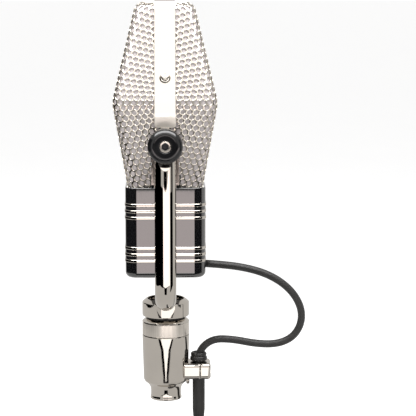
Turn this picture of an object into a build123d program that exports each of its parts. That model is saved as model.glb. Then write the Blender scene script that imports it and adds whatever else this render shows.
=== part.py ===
from build123d import *
import math
import os

# Ribbon microphone on a U-shaped yoke and a cushioned stand mount, in millimetres.
# +Z is up, the front of the head faces -Y, the cable leaves the rear face (+Y).
# The origin is the centre of the threaded socket's mouth, under the mount.

# ---- driving dimensions ---------------------------------------------------------------

# Cushioned mount, heights above the socket's mouth
THREAD_R = 7.45              # inner radius of the 5/8"-27 socket
THREAD_LENGTH = 15.0
FLARE_R = 13.4
NECK_R = 12.9
NECK_Z = 8.0
SHOULDER_Z = 17.0
BARREL_LOW_R = 19.0
BARREL_TOP_R = 20.0
BARREL_TOP_Z = 56.0
BARREL_BORE_R = 17.0
CAP_RING_Z = 67.0            # top of the cap's straight side
CAP_TOP_Z = 70.0
CAP_TOP_R = 17.0
COLLAR_R = 19.9
COLLAR_Z = (72.0, 87.0)
COLLAR_CHAMFER = 3.0
CUSHION_R = 16.8
STUD_R = 5.0

# Yoke
ARM_X = 62.0                 # centre line of each arm
ARM_R = 8.75
CROSSBAR_Z = 94.0
YOKE_BEND_R = 17.0
PIVOT_Z = 224.0
ARM_FLAT_DEPTH = 1.9         # flats milled on both sides of each arm's end
ARM_FLAT_DROP = 14.8         # full-depth flat reaches this far below the pivot
ARM_FLAT_RAMP = 5.6          # and runs out to nothing over this height

# Knobs and pivot
KNOB_R = 14.2
KNOB_THICK = 10.6
KNOB_EDGE_R = 4.6
PIVOT_SCREW_R = 3.0
SOCKET_HEAD_R = 4.85
RUNNING_FIT = 0.06           # radial clearance of turning fits

# Lower case
CASE_X = 100.0
CASE_Y = 65.9
CASE_Z = (112.7, 187.5)
CASE_CORNER_R = 9.5
CASE_WALL = 2.5
CASE_BOTTOM_R = 5.0
RING_HEIGHT = 2.5
RING_PROUD = 0.5
RING_SUNK = 0.7
RING_PITCH = 5.3
RING_INSET = 14.3            # first ring's centre below the top, last one's above the bottom
DECK_THICK = 3.0

# Grille, half sizes at its three levels
GRILLE_Z = (187.6, 257.5, 336.5)
GRILLE_HALF_X = (48.2, 59.5, 35.0)
GRILLE_HALF_Y = (31.0, 43.0, 24.1)
GRILLE_CORNER_R = 8.0
GRILLE_TOP_R = 6.5
GRILLE_WALL = 0.8
LINER_GAP = 1.0
LINER_WALL = 0.4
SEAM_GAP = 0.2

# Band over the head
BAND_WIDTH = 17.3
BAND_THICK = 1.5
BAND_END_Z = 237.6
BAND_SCREW_Z = 277.0

# Side channels and rails that carry the pivots
CHANNEL_WIDTH = 22.5
CHANNEL_WALL = 1.5
CHANNEL_WEB_X = 48.6
CHANNEL_EDGE_X = 52.9
CHANNEL_FOOT_Z = 190.3
RAIL_THICK = 3.0
RAIL_WIDTH = 12.0
BOSS_R = 5.0

# Cable, clamp and plug
CABLE_D = 6.4
CABLE_TOTAL = 3000.0
CLAMP_Y = 28.0               # cable axis in the clamp
CLAMP_Z = (18.0, 32.0)
BOOT_R = 5.3
BOOT_END_Z = -19.0
COIL_R = 38.4
COIL_BUNDLE_R = 12.6
EXIT_X = 12.0
EXIT_Z = 118.6
CABLE_JOIN_Z = 26.0          # where the loop and the drop meet, inside the boot

# The cable's free loop, from the rear face of the case to the boot in the clamp
LOOP_ROUTE = [
    (EXIT_X, 33.2, EXIT_Z),
    (11.9, 50.0, 117.4),
    (11.4, 68.0, 114.6),
    (10.4, 84.5, 109.6),
    (9.2, 98.5, 101.6),
    (7.9, 109.3, 90.8),
    (6.7, 115.6, 77.4),
    (5.5, 115.0, 63.9),
    (4.4, 107.6, 52.6),
    (3.4, 94.5, 47.0),
    (2.3, 77.0, 47.2),
    (1.2, 57.5, 51.0),
    (0.3, 39.6, 51.4),
    (0.0, CLAMP_Y, 41.0),
    (0.0, CLAMP_Y, CABLE_JOIN_Z),
]
# From inside the boot down to the coil, and from the coil to the plug
DROP_CORNER_Z = -40.0
COIL_Z = DROP_CORNER_Z - COIL_R * math.sqrt(2)
COIL_ENTRY = COIL_R / math.sqrt(2)
DROP_ROUTE = [
    (0.0, CLAMP_Y, CABLE_JOIN_Z),
    (0.0, CLAMP_Y, DROP_CORNER_Z),
    (-COIL_ENTRY, CLAMP_Y, COIL_Z + COIL_ENTRY),
]
TAIL_ROUTE = [
    (-COIL_R, CLAMP_Y, COIL_Z - 14.0),
    (-COIL_R - 0.6, CLAMP_Y + 1.2, COIL_Z - 32.0),
    (-COIL_R, CLAMP_Y + 3.0, COIL_Z - 50.0),
]

os.makedirs("parts", exist_ok=True)


# ---- helpers --------------------------------------------------------------------------

def save(name, shape):
    """Write one sub-part as parts/NAME.step."""
    shape.label = name
    export_step(shape, f"parts/{name}.step")


def span(x, y, z):
    """A box between the limits given as (low, high) pairs."""
    size = [high - low for low, high in (x, y, z)]
    middle = [(high + low) / 2 for low, high in (x, y, z)]
    return Pos(*middle) * Box(*size)


def rod(radius, start, end):
    """A cylinder between two points."""
    start, end = Vector(*start), Vector(*end)
    along = end - start
    place = Plane(origin=(start + end) * 0.5, z_dir=along)
    return place * Cylinder(radius, along.length)


def tube(outer, inner, start, end):
    """A plain ring or tube between two points."""
    return rod(outer, start, end) - rod(inner, start, end)


def turned(profile):
    """Revolve (radius, height) points about the Z axis."""
    return revolve(Plane.XZ * make_face(Polyline(*profile, close=True)), axis=Axis.Z)


def slab(outline, half_width):
    """Extrude an (x, z) outline to both sides of the XZ plane."""
    return extrude(Plane.XZ * make_face(Polyline(*outline, close=True)), half_width, both=True)


def both_sides(shape):
    """The shape and its mirror image across the YZ plane, as separate solids."""
    return Compound(children=[shape, mirror(shape, about=Plane.YZ)])


def rounded_prism(x, y, corner, z_low, z_high):
    """A rounded rectangle between two heights."""
    return extrude(Pos(0, 0, z_low) * RectangleRounded(x, y, corner), z_high - z_low)


def side_x(z):
    """Half width of the grille's outer surface at height z."""
    low, crease, top = GRILLE_Z
    base, widest, crown = GRILLE_HALF_X
    if z < crease:
        return base + (widest - base) * (z - low) / (crease - low)
    return widest + (crown - widest) * (z - crease) / (top - crease)


def corner_radii(route):
    """One radius per corner of a route: as large as its two runs allow."""
    points = [Vector(*point) for point in route]
    radii = []
    for before, at, after in zip(points, points[1:], points[2:]):
        run_in, run_out = at - before, after - at
        half_turn = math.radians(run_in.get_angle(run_out)) / 2
        radii.append(0.45 * min(run_in.length, run_out.length) / math.tan(half_turn))
    return radii


def cable(name, route):
    """Sweep the cable's round section along straight runs joined by tangent arcs."""
    radii = corner_radii(route)
    path = FilletPolyline(*route, radius=radii)
    section = Plane(origin=path @ 0, z_dir=path % 0) * Circle(CABLE_D / 2)
    solid = sweep(section, path=path)
    expected = math.pi * CABLE_D ** 2 / 4 * path.length
    print(name, "length", round(path.length, 1), "volume ratio", round(solid.volume / expected, 4),
          "radii", [round(radius, 1) for radius in radii])
    return solid, path.length


# ---- cushioned stand mount ------------------------------------------------------------

def mount_body():
    outside = [
        (THREAD_R + 3.5, 0), (FLARE_R, 0), (FLARE_R, 2.0), (NECK_R + 0.1, 3.2), (NECK_R, NECK_Z),
        (NECK_R + 0.9, 11.0), (NECK_R + 2.5, 13.4), (BARREL_LOW_R - 1.6, 15.2),
        (BARREL_LOW_R - 0.5, SHOULDER_Z - 0.6), (BARREL_LOW_R, SHOULDER_Z + 0.4),
        (BARREL_TOP_R, BARREL_TOP_Z),
    ]
    inside = [
        (BARREL_BORE_R, BARREL_TOP_Z), (BARREL_BORE_R, SHOULDER_Z + 1.0),
        (THREAD_R + 3.5, SHOULDER_Z + 1.0),
    ]
    body = turned(outside + inside)
    body -= rod(1.85, (0, 8, 15), (0, 24, 15))
    body -= rod(3.15, (0, 17.35, 15), (0, 24, 15))
    for x in (-8.6, 8.6):
        body -= rod(1.65, (x, 12, 25), (x, 24, 25))
    return body


def mount_cap():
    return turned([
        (8.0, BARREL_TOP_Z - 6), (BARREL_BORE_R - 0.1, BARREL_TOP_Z - 6),
        (BARREL_BORE_R - 0.1, BARREL_TOP_Z + 0.05), (BARREL_TOP_R, BARREL_TOP_Z + 0.05),
        (BARREL_TOP_R, CAP_RING_Z), (CAP_TOP_R, CAP_TOP_Z), (8.0, CAP_TOP_Z),
    ])


def cushion(z_low, z_high):
    ring = turned([(STUD_R + 0.3, z_low), (CUSHION_R, z_low), (CUSHION_R, z_high),
                   (STUD_R + 0.3, z_high)])
    return ring


def centre_stud():
    stud = turned([
        (0, 19.0), (STUD_R - 0.1, 19.0), (STUD_R, 37.0), (14.0, 37.0), (14.0, 39.5), (STUD_R, 39.5),
        (STUD_R, COLLAR_Z[0] + 6), (3.0, COLLAR_Z[0] + 6), (3.0, CROSSBAR_Z - 2), (0, CROSSBAR_Z - 2),
    ])
    return stud


def collar():
    low, high = COLLAR_Z
    body = turned([
        (3.1, low), (COLLAR_R - 1.0, low), (COLLAR_R, low + 1.0), (COLLAR_R, high - COLLAR_CHAMFER),
        (COLLAR_R - COLLAR_CHAMFER - 1.0, high), (3.1, high),
    ])
    body -= rod(STUD_R + 0.05, (0, 0, low), (0, 0, low + 6.05))
    body -= rod(ARM_R + 0.03, (-30, 0, CROSSBAR_Z), (30, 0, CROSSBAR_Z))
    return body


def yoke():
    path = FilletPolyline(
        (-ARM_X, 0, PIVOT_Z), (-ARM_X, 0, CROSSBAR_Z), (ARM_X, 0, CROSSBAR_Z), (ARM_X, 0, PIVOT_Z),
        radius=YOKE_BEND_R)
    tube_solid = sweep(Plane(origin=path @ 0, z_dir=path % 0) * Circle(ARM_R), path=path)
    for side in (-1, 1):
        tube_solid += Pos(side * ARM_X, 0, PIVOT_Z) * Sphere(ARM_R)
        for face in (-1, 1):
            flat = ARM_R - ARM_FLAT_DEPTH
            knee_z = PIVOT_Z - ARM_FLAT_DROP
            outline = [
                (flat, PIVOT_Z + 20), (flat, knee_z), (ARM_R, knee_z - ARM_FLAT_RAMP),
                (ARM_R + 5, knee_z - ARM_FLAT_RAMP), (ARM_R + 5, PIVOT_Z + 20),
            ]
            placed = [(side * ARM_X + face * x, z) for x, z in outline]
            tube_solid -= slab(placed, 12)
        tube_solid -= rod(5.0, (side * (ARM_X - 12), 0, PIVOT_Z), (side * (ARM_X + 12), 0, PIVOT_Z))
    tube_solid -= rod(3.05, (0, 0, CROSSBAR_Z - 12), (0, 0, CROSSBAR_Z - 1.9))
    return tube_solid


save("mount_body", mount_body())
save("mount_cap", mount_cap())
save("thread_insert", tube(THREAD_R + 3.45, THREAD_R, (0, 0, 0), (0, 0, THREAD_LENGTH)))
save("stand_lock_screw", rod(1.8, (0, 11.0, 15), (0, 17.4, 15)) + rod(3.0, (0, 17.4, 15), (0, 20.2, 15)))
save("lower_cushion", cushion(25.0, 36.9))
save("upper_cushion", cushion(39.6, BARREL_TOP_Z - 6.1))
save("neck_cushion", turned([(5.3, 70.1), (16.4, 70.1), (16.4, 71.9), (5.3, 71.9)]))
save("centre_stud", centre_stud())
nut = extrude(Pos(0, 0, 19.6) * RegularPolygon(9.0, 6), 5.2) - rod(STUD_R + 0.05, (0, 0, 19), (0, 0, 26))
save("stud_nut", nut)
save("yoke_collar", collar())
save("yoke", yoke())
arm_inner = ARM_X - ARM_R + ARM_FLAT_DEPTH
arm_outer = ARM_X + ARM_R - ARM_FLAT_DEPTH
bushing = tube(4.97, PIVOT_SCREW_R + RUNNING_FIT, (arm_inner, 0, PIVOT_Z), (arm_outer, 0, PIVOT_Z))
save("yoke_bushings", both_sides(bushing))


# ---- cable clamp, boot, cable, coil and plug -------------------------------------------

def clamp_jaws():
    low, high = CLAMP_Z
    part_line = CLAMP_Y + 1.1
    inner = span((-12, 12), (14.5, part_line - 0.15), (low, high))
    outer = span((-12, 12), (part_line + 0.15, part_line + 9.0), (low, high))
    inner = fillet(inner.edges().filter_by(Axis.Y), 3.0)
    outer = fillet(outer.edges().filter_by(Axis.Y), 3.0)
    outer = fillet(outer.faces().sort_by(Axis.Y)[-1].edges(), 2.2)
    inner -= rod(19.5, (0, 0, low - 1), (0, 0, high + 1))
    bore = rod(BOOT_R + 0.05, (0, CLAMP_Y, low - 1), (0, CLAMP_Y, high + 1))
    inner -= bore
    outer -= bore
    screws = []
    for x in (-8.6, 8.6):
        inner -= rod(1.65, (x, 10, 25), (x, 32, 25))
        outer -= rod(1.65, (x, 26, 25), (x, 42, 25))
        outer -= rod(2.9, (x, part_line + 6, 25), (x, 42, 25))
        screw = rod(1.6, (x, 15.5, 25), (x, part_line + 6, 25))
        screw += rod(2.8, (x, part_line + 6.02, 25), (x, part_line + 8.4, 25))
        screw -= span((x - 0.5, x + 0.5), (part_line + 7.2, part_line + 9), (21, 29))
        screws.append(screw)
    return inner, outer, Compound(children=screws)


def cable_boot():
    low, high = CLAMP_Z
    body = turned([
        (CABLE_D / 2 + 0.05, BOOT_END_Z), (CABLE_D / 2 + 1.2, BOOT_END_Z), (BOOT_R, BOOT_END_Z + 9),
        (BOOT_R, high + 0.05), (6.2, high + 0.05), (7.25, high + 1.6), (7.25, high + 5.2),
        (6.2, high + 7.4), (CABLE_D / 2 + 2.1, high + 8.0), (CABLE_D / 2 + 0.05, high + 1.0),
    ])
    return Pos(0, CLAMP_Y, 0) * body


def coil_straps():
    strap = tube(COIL_BUNDLE_R + 1.3, COIL_BUNDLE_R + 0.05, (COIL_R, 0, -8), (COIL_R, 0, 8))
    return Compound(children=[
        Pos(0, CLAMP_Y, COIL_Z) * Rot(0, angle, 0) * strap for angle in (-50, 75)])


def plug(top):
    """A three-pin cable plug whose boot starts at the point top and points down."""
    x, y, z = top

    def at(height):
        return (x, y, z - height)

    boot = Pos(x, y, z - 24) * turned([
        (CABLE_D / 2 + 0.05, 0), (7.0, 0), (6.6, 8), (4.6, 24), (CABLE_D / 2 + 0.05, 24)])
    shell = tube(9.5, 8.2, at(24.1), at(72))
    insert = rod(8.1, at(40), at(56))
    pins = []
    for angle in (90, 210, 330):
        px = x + 4.1 * math.cos(math.radians(angle))
        py = y + 4.1 * math.sin(math.radians(angle))
        insert -= rod(1.25, (px, py, z - 39), (px, py, z - 57))
        pins.append(rod(1.2, (px, py, z - 41), (px, py, z - 69)))
    return boot, shell, insert, Compound(children=pins)


jaw_inner, jaw_outer, jaw_screws = clamp_jaws()
save("clamp_jaw_inner", jaw_inner)
save("clamp_jaw_outer", jaw_outer)
save("clamp_screws", jaw_screws)
save("cable_boot", cable_boot())

loop_solid, loop_length = cable("cable_loop", LOOP_ROUTE)
drop_solid, drop_length = cable("cable_drop", DROP_ROUTE)
tail_solid, tail_length = cable("cable_tail", TAIL_ROUTE)
coil_length = CABLE_TOTAL - loop_length - drop_length - tail_length
print("coil length", round(coil_length), "turns", round(coil_length / (2 * math.pi * COIL_R), 2))
save("cable_loop", loop_solid)
save("cable_drop", drop_solid)
save("cable_tail", tail_solid)
save("cable_coil", Pos(0, CLAMP_Y, COIL_Z) * Rot(90, 0, 0) * Torus(COIL_R, COIL_BUNDLE_R))
save("coil_straps", coil_straps())
for name, solid in zip(("plug_boot", "plug_shell", "plug_insert", "plug_pins"), plug(TAIL_ROUTE[-1])):
    save(name, solid)


# ---- lower case -----------------------------------------------------------------------

def ring_heights():
    """Centres of the six trim rings, from the top."""
    low, high = CASE_Z
    upper = [high - RING_INSET - RING_PITCH * index for index in range(3)]
    lower = [low + RING_INSET + RING_PITCH * index for index in (2, 1, 0)]
    return upper + lower


def trim_ring(z):
    outer = rounded_prism(CASE_X + 2 * RING_PROUD, CASE_Y + 2 * RING_PROUD, CASE_CORNER_R + RING_PROUD,
                          z - RING_HEIGHT / 2, z + RING_HEIGHT / 2)
    inner = rounded_prism(CASE_X - 2 * RING_SUNK, CASE_Y - 2 * RING_SUNK, CASE_CORNER_R - RING_SUNK,
                          z - RING_HEIGHT, z + RING_HEIGHT)
    return outer - inner


def lower_case():
    low, high = CASE_Z
    body = rounded_prism(CASE_X, CASE_Y, CASE_CORNER_R, low, high)
    body = fillet(body.faces().sort_by(Axis.Z)[0].edges(), CASE_BOTTOM_R)
    body = fillet(body.faces().sort_by(Axis.Z)[-1].edges(), 1.0)
    inner_x, inner_y = CASE_X - 2 * CASE_WALL, CASE_Y - 2 * CASE_WALL
    body -= rounded_prism(inner_x, inner_y, CASE_CORNER_R - CASE_WALL, low + 3.0, high + 1)
    groove = RING_SUNK + 0.02
    for z in ring_heights():
        band = rounded_prism(CASE_X + 4, CASE_Y + 4, CASE_CORNER_R + 2,
                             z - RING_HEIGHT / 2 - 0.02, z + RING_HEIGHT / 2 + 0.02)
        core = rounded_prism(CASE_X - 2 * groove, CASE_Y - 2 * groove, CASE_CORNER_R - groove,
                             z - RING_HEIGHT, z + RING_HEIGHT)
        body -= band - core
    body -= rod(5.05, (EXIT_X, 26, EXIT_Z), (EXIT_X, 40, EXIT_Z))
    for x, y in POSTS:
        body -= rod(1.7, (x, y, low - 1), (x, y, low + 5))
        body -= rod(3.5, (x, y, low - 1), (x, y, low + 1.9))
    return body


def post_and_screw(x, y):
    low, high = CASE_Z
    post = rod(3.5, (x, y, low + 3.0), (x, y, high - DECK_THICK))
    post -= rod(1.65, (x, y, low + 2), (x, y, low + 15))
    screw = rod(3.4, (x, y, low + 0.2), (x, y, low + 1.85)) + rod(1.6, (x, y, low + 1.85), (x, y, low + 13))
    screw -= span((x - 2.4, x + 2.4), (y - 0.4, y + 0.4), (low - 1, low + 1.1))
    return post, screw


POSTS = [(x, y) for x in (-38, 38) for y in (-21, 21)]
save("lower_case", lower_case())
for number, height in enumerate(ring_heights(), start=1):
    save(f"trim_ring_{number}", trim_ring(height))
posts, case_screws = zip(*[post_and_screw(x, y) for x, y in POSTS])
save("deck_posts", Compound(children=posts))
save("case_screws", Compound(children=case_screws))

deck = rounded_prism(CASE_X - 2 * CASE_WALL - 0.1, CASE_Y - 2 * CASE_WALL - 0.1,
                     CASE_CORNER_R - CASE_WALL, CASE_Z[1] - DECK_THICK, CASE_Z[1])
deck -= rod(4.0, (0, 0, CASE_Z[1] - 5), (0, 0, CASE_Z[1] + 5))
save("top_deck", deck)

gland = tube(7.0, CABLE_D / 2 + 0.05, (EXIT_X, 27.0, EXIT_Z), (EXIT_X, 30.4, EXIT_Z))
gland += tube(5.0, CABLE_D / 2 + 0.05, (EXIT_X, 30.4, EXIT_Z), (EXIT_X, 33.1, EXIT_Z))
save("cable_gland", gland - span((EXIT_X - 8, EXIT_X + 8), (26, 34), (100, CASE_Z[0] + 3.05)))


# ---- transformer and terminals inside the case ------------------------------------------

FLOOR_Z = CASE_Z[0] + 3.02
core = span((-22, 22), (-14, 14), (FLOOR_Z, FLOOR_Z + 36))
for x in (-14, 7):
    core -= span((x, x + 7), (-15, 15), (FLOOR_Z + 8, FLOOR_Z + 28))
winding = span((-13.8, 13.8), (-19, 19), (FLOOR_Z + 8.2, FLOOR_Z + 27.8))
winding -= span((-7.1, 7.1), (-14.1, 14.1), (FLOOR_Z, FLOOR_Z + 36))
save("transformer_core", core)
save("transformer_winding", winding)
board = span((-43, 43), (-26, 26), (160, 162))
for x, y in POSTS:
    board -= rod(3.53, (x, y, 159), (x, y, 163))
for x in (-18, -6, 6, 18):
    board -= rod(1.3, (x, 10, 159), (x, 10, 163))
save("terminal_board", board)


# ---- pivots: channels, rails, bosses, washers, knobs -------------------------------------

slope = math.atan2(GRILLE_HALF_X[1] - GRILLE_HALF_X[2], GRILLE_Z[2] - GRILLE_Z[1])
band_normal = Vector(math.cos(slope), 0, math.sin(slope))
band_spot = Vector(side_x(BAND_SCREW_Z), 0, BAND_SCREW_Z)


def band_axis(shape):
    """Place a shape built on +Z at the band's right-hand screw, pointing outward."""
    return Plane(origin=band_spot, z_dir=band_normal) * shape


def side_channel():
    """The right-hand U channel: web, two edges and a foot on the deck."""
    half = CHANNEL_WIDTH / 2
    face = Plane.YZ * (Pos(0, (CHANNEL_FOOT_Z + PIVOT_Z) / 2)
                       * Rectangle(CHANNEL_WIDTH, PIVOT_Z - CHANNEL_FOOT_Z)
                       + Pos(0, PIVOT_Z) * Circle(half))
    body = Pos(CHANNEL_WEB_X, 0, 0) * extrude(face, CHANNEL_EDGE_X - CHANNEL_WEB_X)
    inner_half = half - CHANNEL_WALL
    pocket = Plane.YZ * (Pos(0, (CHANNEL_FOOT_Z - 5 + PIVOT_Z) / 2)
                         * Rectangle(2 * inner_half, PIVOT_Z - CHANNEL_FOOT_Z + 5)
                         + Pos(0, PIVOT_Z) * Circle(inner_half))
    body -= Pos(CHANNEL_WEB_X + CHANNEL_WALL, 0, 0) * extrude(pocket, 20)
    foot_z = CASE_Z[1] + 0.02
    body += span((CHANNEL_WEB_X - 12, CHANNEL_WEB_X - 3.1), (-9, 9), (foot_z, foot_z + 2))
    body += span((CHANNEL_WEB_X - 5, CHANNEL_WEB_X), (-9, 9), (foot_z, foot_z + 2))
    body += span((CHANNEL_WEB_X - 0.01, CHANNEL_WEB_X + 1.5), (-9, 9), (foot_z, CHANNEL_FOOT_Z + 2))
    body -= span((CHANNEL_WEB_X - 0.6, CHANNEL_WEB_X + 2), (-9.5, 9.5), (foot_z - 1, foot_z))
    body -= rod(BOSS_R + 0.05, (40, 0, PIVOT_Z), (60, 0, PIVOT_Z))
    return body


def side_rail():
    """The inner rail from behind the channel, up the inside of the grille."""
    inset = LINER_GAP + LINER_WALL + 0.7
    low, crease, top = GRILLE_Z
    join_z, top_z = 240.0, 322.0
    outer = [(CHANNEL_WEB_X - 0.02, 196.0), (CHANNEL_WEB_X - 0.02, join_z - 4),
             (side_x(join_z + 4) - inset, join_z + 4), (side_x(crease) - inset, crease),
             (side_x(top_z) - inset, top_z)]
    inner = [(x - RAIL_THICK, z) for x, z in reversed(outer)]
    rail = slab(outer + inner, RAIL_WIDTH / 2)
    rail += rod(9.0, (CHANNEL_WEB_X - RAIL_THICK - 0.02, 0, PIVOT_Z), (CHANNEL_WEB_X - 0.02, 0, PIVOT_Z))
    rail -= rod(BOSS_R + 0.05, (40, 0, PIVOT_Z), (60, 0, PIVOT_Z))
    rail -= band_axis(Cylinder(1.55, 24))
    return rail


def pivot_boss():
    face_x = arm_inner - 1.3
    back_x = CHANNEL_WEB_X - RAIL_THICK - 0.05
    body = rod(BOSS_R, (back_x - 3, 0, PIVOT_Z), (face_x, 0, PIVOT_Z))
    body += rod(8.5, (back_x - 3, 0, PIVOT_Z), (back_x, 0, PIVOT_Z))
    body -= rod(PIVOT_SCREW_R + RUNNING_FIT, (30, 0, PIVOT_Z), (70, 0, PIVOT_Z))
    return body


def knob():
    """Right-hand knob about its own axis: back face at height 0, front at the top."""
    body = Cylinder(KNOB_R, KNOB_THICK, align=(Align.CENTER, Align.CENTER, Align.MIN))
    body = fillet(body.faces().sort_by(Axis.Z)[-1].edges(), KNOB_EDGE_R)
    body = fillet(body.faces().sort_by(Axis.Z)[0].edges(), 0.8)
    body -= Pos(0, 0, KNOB_THICK - 5.6) * Cylinder(
        SOCKET_HEAD_R + 0.15, 10, align=(Align.CENTER, Align.CENTER, Align.MIN))
    body -= Cylinder(PIVOT_SCREW_R + 0.05, 30)
    return body


def knob_screw():
    """Socket-head pivot screw on the knob's axis."""
    head_low = KNOB_THICK - 5.55
    head = Pos(0, 0, head_low) * Cylinder(SOCKET_HEAD_R, 5.0, align=(Align.CENTER, Align.CENTER, Align.MIN))
    head = chamfer(head.faces().sort_by(Axis.Z)[-1].edges(), 0.5)
    shank = Pos(0, 0, -22) * Cylinder(PIVOT_SCREW_R, 22 + head_low,
                                      align=(Align.CENTER, Align.CENTER, Align.MIN))
    screw = head + shank
    screw -= extrude(Pos(0, 0, head_low + 2.0) * RegularPolygon(2.9, 6), 5)
    return screw


channel, rail, boss = side_channel(), side_rail(), pivot_boss()
save("side_channel_right", channel)
save("side_channel_left", mirror(channel, about=Plane.YZ))
save("side_rails", both_sides(rail))
save("pivot_bosses", both_sides(boss))
washer = tube(9.2, PIVOT_SCREW_R + 0.2, (arm_inner - 1.28, 0, PIVOT_Z), (arm_inner - 0.05, 0, PIVOT_Z))
save("friction_washers", both_sides(washer))
seat = Plane(origin=(arm_outer + 0.05, 0, PIVOT_Z), x_dir=(0, 1, 0), z_dir=(1, 0, 0))
save("knob_right", seat * knob())
save("knob_screw_right", seat * knob_screw())
save("knob_left", mirror(seat * knob(), about=Plane.YZ))
save("knob_screw_left", mirror(seat * knob_screw(), about=Plane.YZ))


# ---- grille, liner, band ------------------------------------------------------------------

def head_form(inset):
    """The head's outer form, drawn in by inset on every side but the bottom."""
    levels = []
    for z, half_x, half_y in zip(GRILLE_Z, GRILLE_HALF_X, GRILLE_HALF_Y):
        top = z == GRILLE_Z[-1]
        levels.append(Pos(0, 0, z - inset if top else z) * RectangleRounded(
            2 * (half_x - inset), 2 * (half_y - inset), GRILLE_CORNER_R - inset))
    form = loft(levels, ruled=True)
    return fillet(form.faces().sort_by(Axis.Z)[-1].edges(), GRILLE_TOP_R - inset)


def halves(shell):
    """Split a shell at the seam plane into its front and rear halves."""
    reach = 80
    front = shell & span((-reach, reach), (-reach, -SEAM_GAP / 2), (150, 350))
    rear = shell & span((-reach, reach), (SEAM_GAP / 2, reach), (150, 350))
    return front, rear


channel_cut = CHANNEL_WIDTH / 2 + 0.25
opening = span((CHANNEL_WEB_X - 4, 75), (-channel_cut, channel_cut), (180, PIVOT_Z))
opening += rod(channel_cut, (CHANNEL_WEB_X - 4, 0, PIVOT_Z), (75, 0, PIVOT_Z))
opening += band_axis(Cylinder(2.2, 20))
openings = opening + mirror(opening, about=Plane.YZ)

shell_front, shell_rear = halves(head_form(0) - head_form(GRILLE_WALL) - openings)
save("grille_front", shell_front)
save("grille_rear", shell_rear)
lining = head_form(LINER_GAP) - head_form(LINER_GAP + LINER_WALL) - openings
save("grille_liner", lining)


def top_band():
    lift = 0.12
    top = GRILLE_Z[2]
    inner = [(side_x(BAND_END_Z) + lift, BAND_END_Z), (GRILLE_HALF_X[1] + lift, GRILLE_Z[1]),
             (GRILLE_HALF_X[2] + lift, top + lift)]
    outer = [(side_x(BAND_END_Z) + BAND_THICK, BAND_END_Z), (GRILLE_HALF_X[1] + BAND_THICK, GRILLE_Z[1]),
             (GRILLE_HALF_X[2] + BAND_THICK * 0.8, top + BAND_THICK)]
    outline = inner + [(-x, z) for x, z in reversed(inner)]
    outline += [(-x, z) for x, z in outer] + outer[::-1]
    band = slab(outline, BAND_WIDTH / 2)
    low_edges = band.edges().filter_by(Axis.X, tolerance=3).group_by(Axis.Z)[0]
    band = fillet(low_edges, 2.4)
    hole = band_axis(Cylinder(1.7, 20))
    return band - hole - mirror(hole, about=Plane.YZ)


save("top_band", top_band())
cup = turned([(1.7, BAND_THICK), (4.5, BAND_THICK), (4.3, BAND_THICK + 0.5), (3.4, BAND_THICK + 1.5),
              (2.9, BAND_THICK + 1.5), (1.7, BAND_THICK + 0.4)])
save("cup_washers", both_sides(band_axis(cup)))
screw_head = turned([(0, -8.0), (1.5, -8.0), (1.5, BAND_THICK + 0.45), (2.85, BAND_THICK + 1.6),
                     (2.3, BAND_THICK + 2.1), (1.2, BAND_THICK + 2.4), (0, BAND_THICK + 2.5)])
for width, depth in ((3.4, 0.8), (0.8, 3.4)):
    screw_head -= Pos(0, 0, BAND_THICK + 2.4) * Box(width, depth, 2.0)
save("band_screws", both_sides(band_axis(screw_head)))


# ---- ribbon motor ----------------------------------------------------------------------

plate = span((-34.5, 34.5), (-14, 14), (322.05, 325.0))
save("top_plate", plate)
magnet = slab([(-28, 187.6), (28, 187.6), (28, 262), (14, 262), (14, 206), (-14, 206), (-14, 262),
               (-28, 262)], 11)
save("horseshoe_magnet", magnet)
pole = slab([(13.95, 226), (13.95, 261), (9.5, 266), (9.5, 322.0), (2.6, 322.0), (2.6, 226)], 6)
save("pole_piece_right", pole)
save("pole_piece_left", mirror(pole, about=Plane.YZ))

corrugations = 30
ribbon_low, ribbon_high = 236.0, 300.0
wave = []
for index in range(2 * corrugations + 1):
    wave.append((0.45 * (-1) ** index, ribbon_low + (ribbon_high - ribbon_low) * index / (2 * corrugations)))
foil = [(y - 0.1, z) for y, z in wave] + [(y + 0.1, z) for y, z in reversed(wave)]
save("ribbon", extrude(Plane.YZ * make_face(Polyline(*foil, close=True)), 2.3, both=True))
clamps = []
for z_low, z_high in ((230.0, 235.9), (300.1, 306.0)):
    clamps.append(span((-2.55, 2.55), (-5.0, 5.0), (z_low, z_high)))
save("ribbon_clamps", Compound(children=clamps))
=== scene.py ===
import math

import bmesh
import bpy
import numpy as np
from bpy.props import FloatProperty, FloatVectorProperty, IntProperty, PointerProperty
from mathutils import Matrix, Vector


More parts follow.
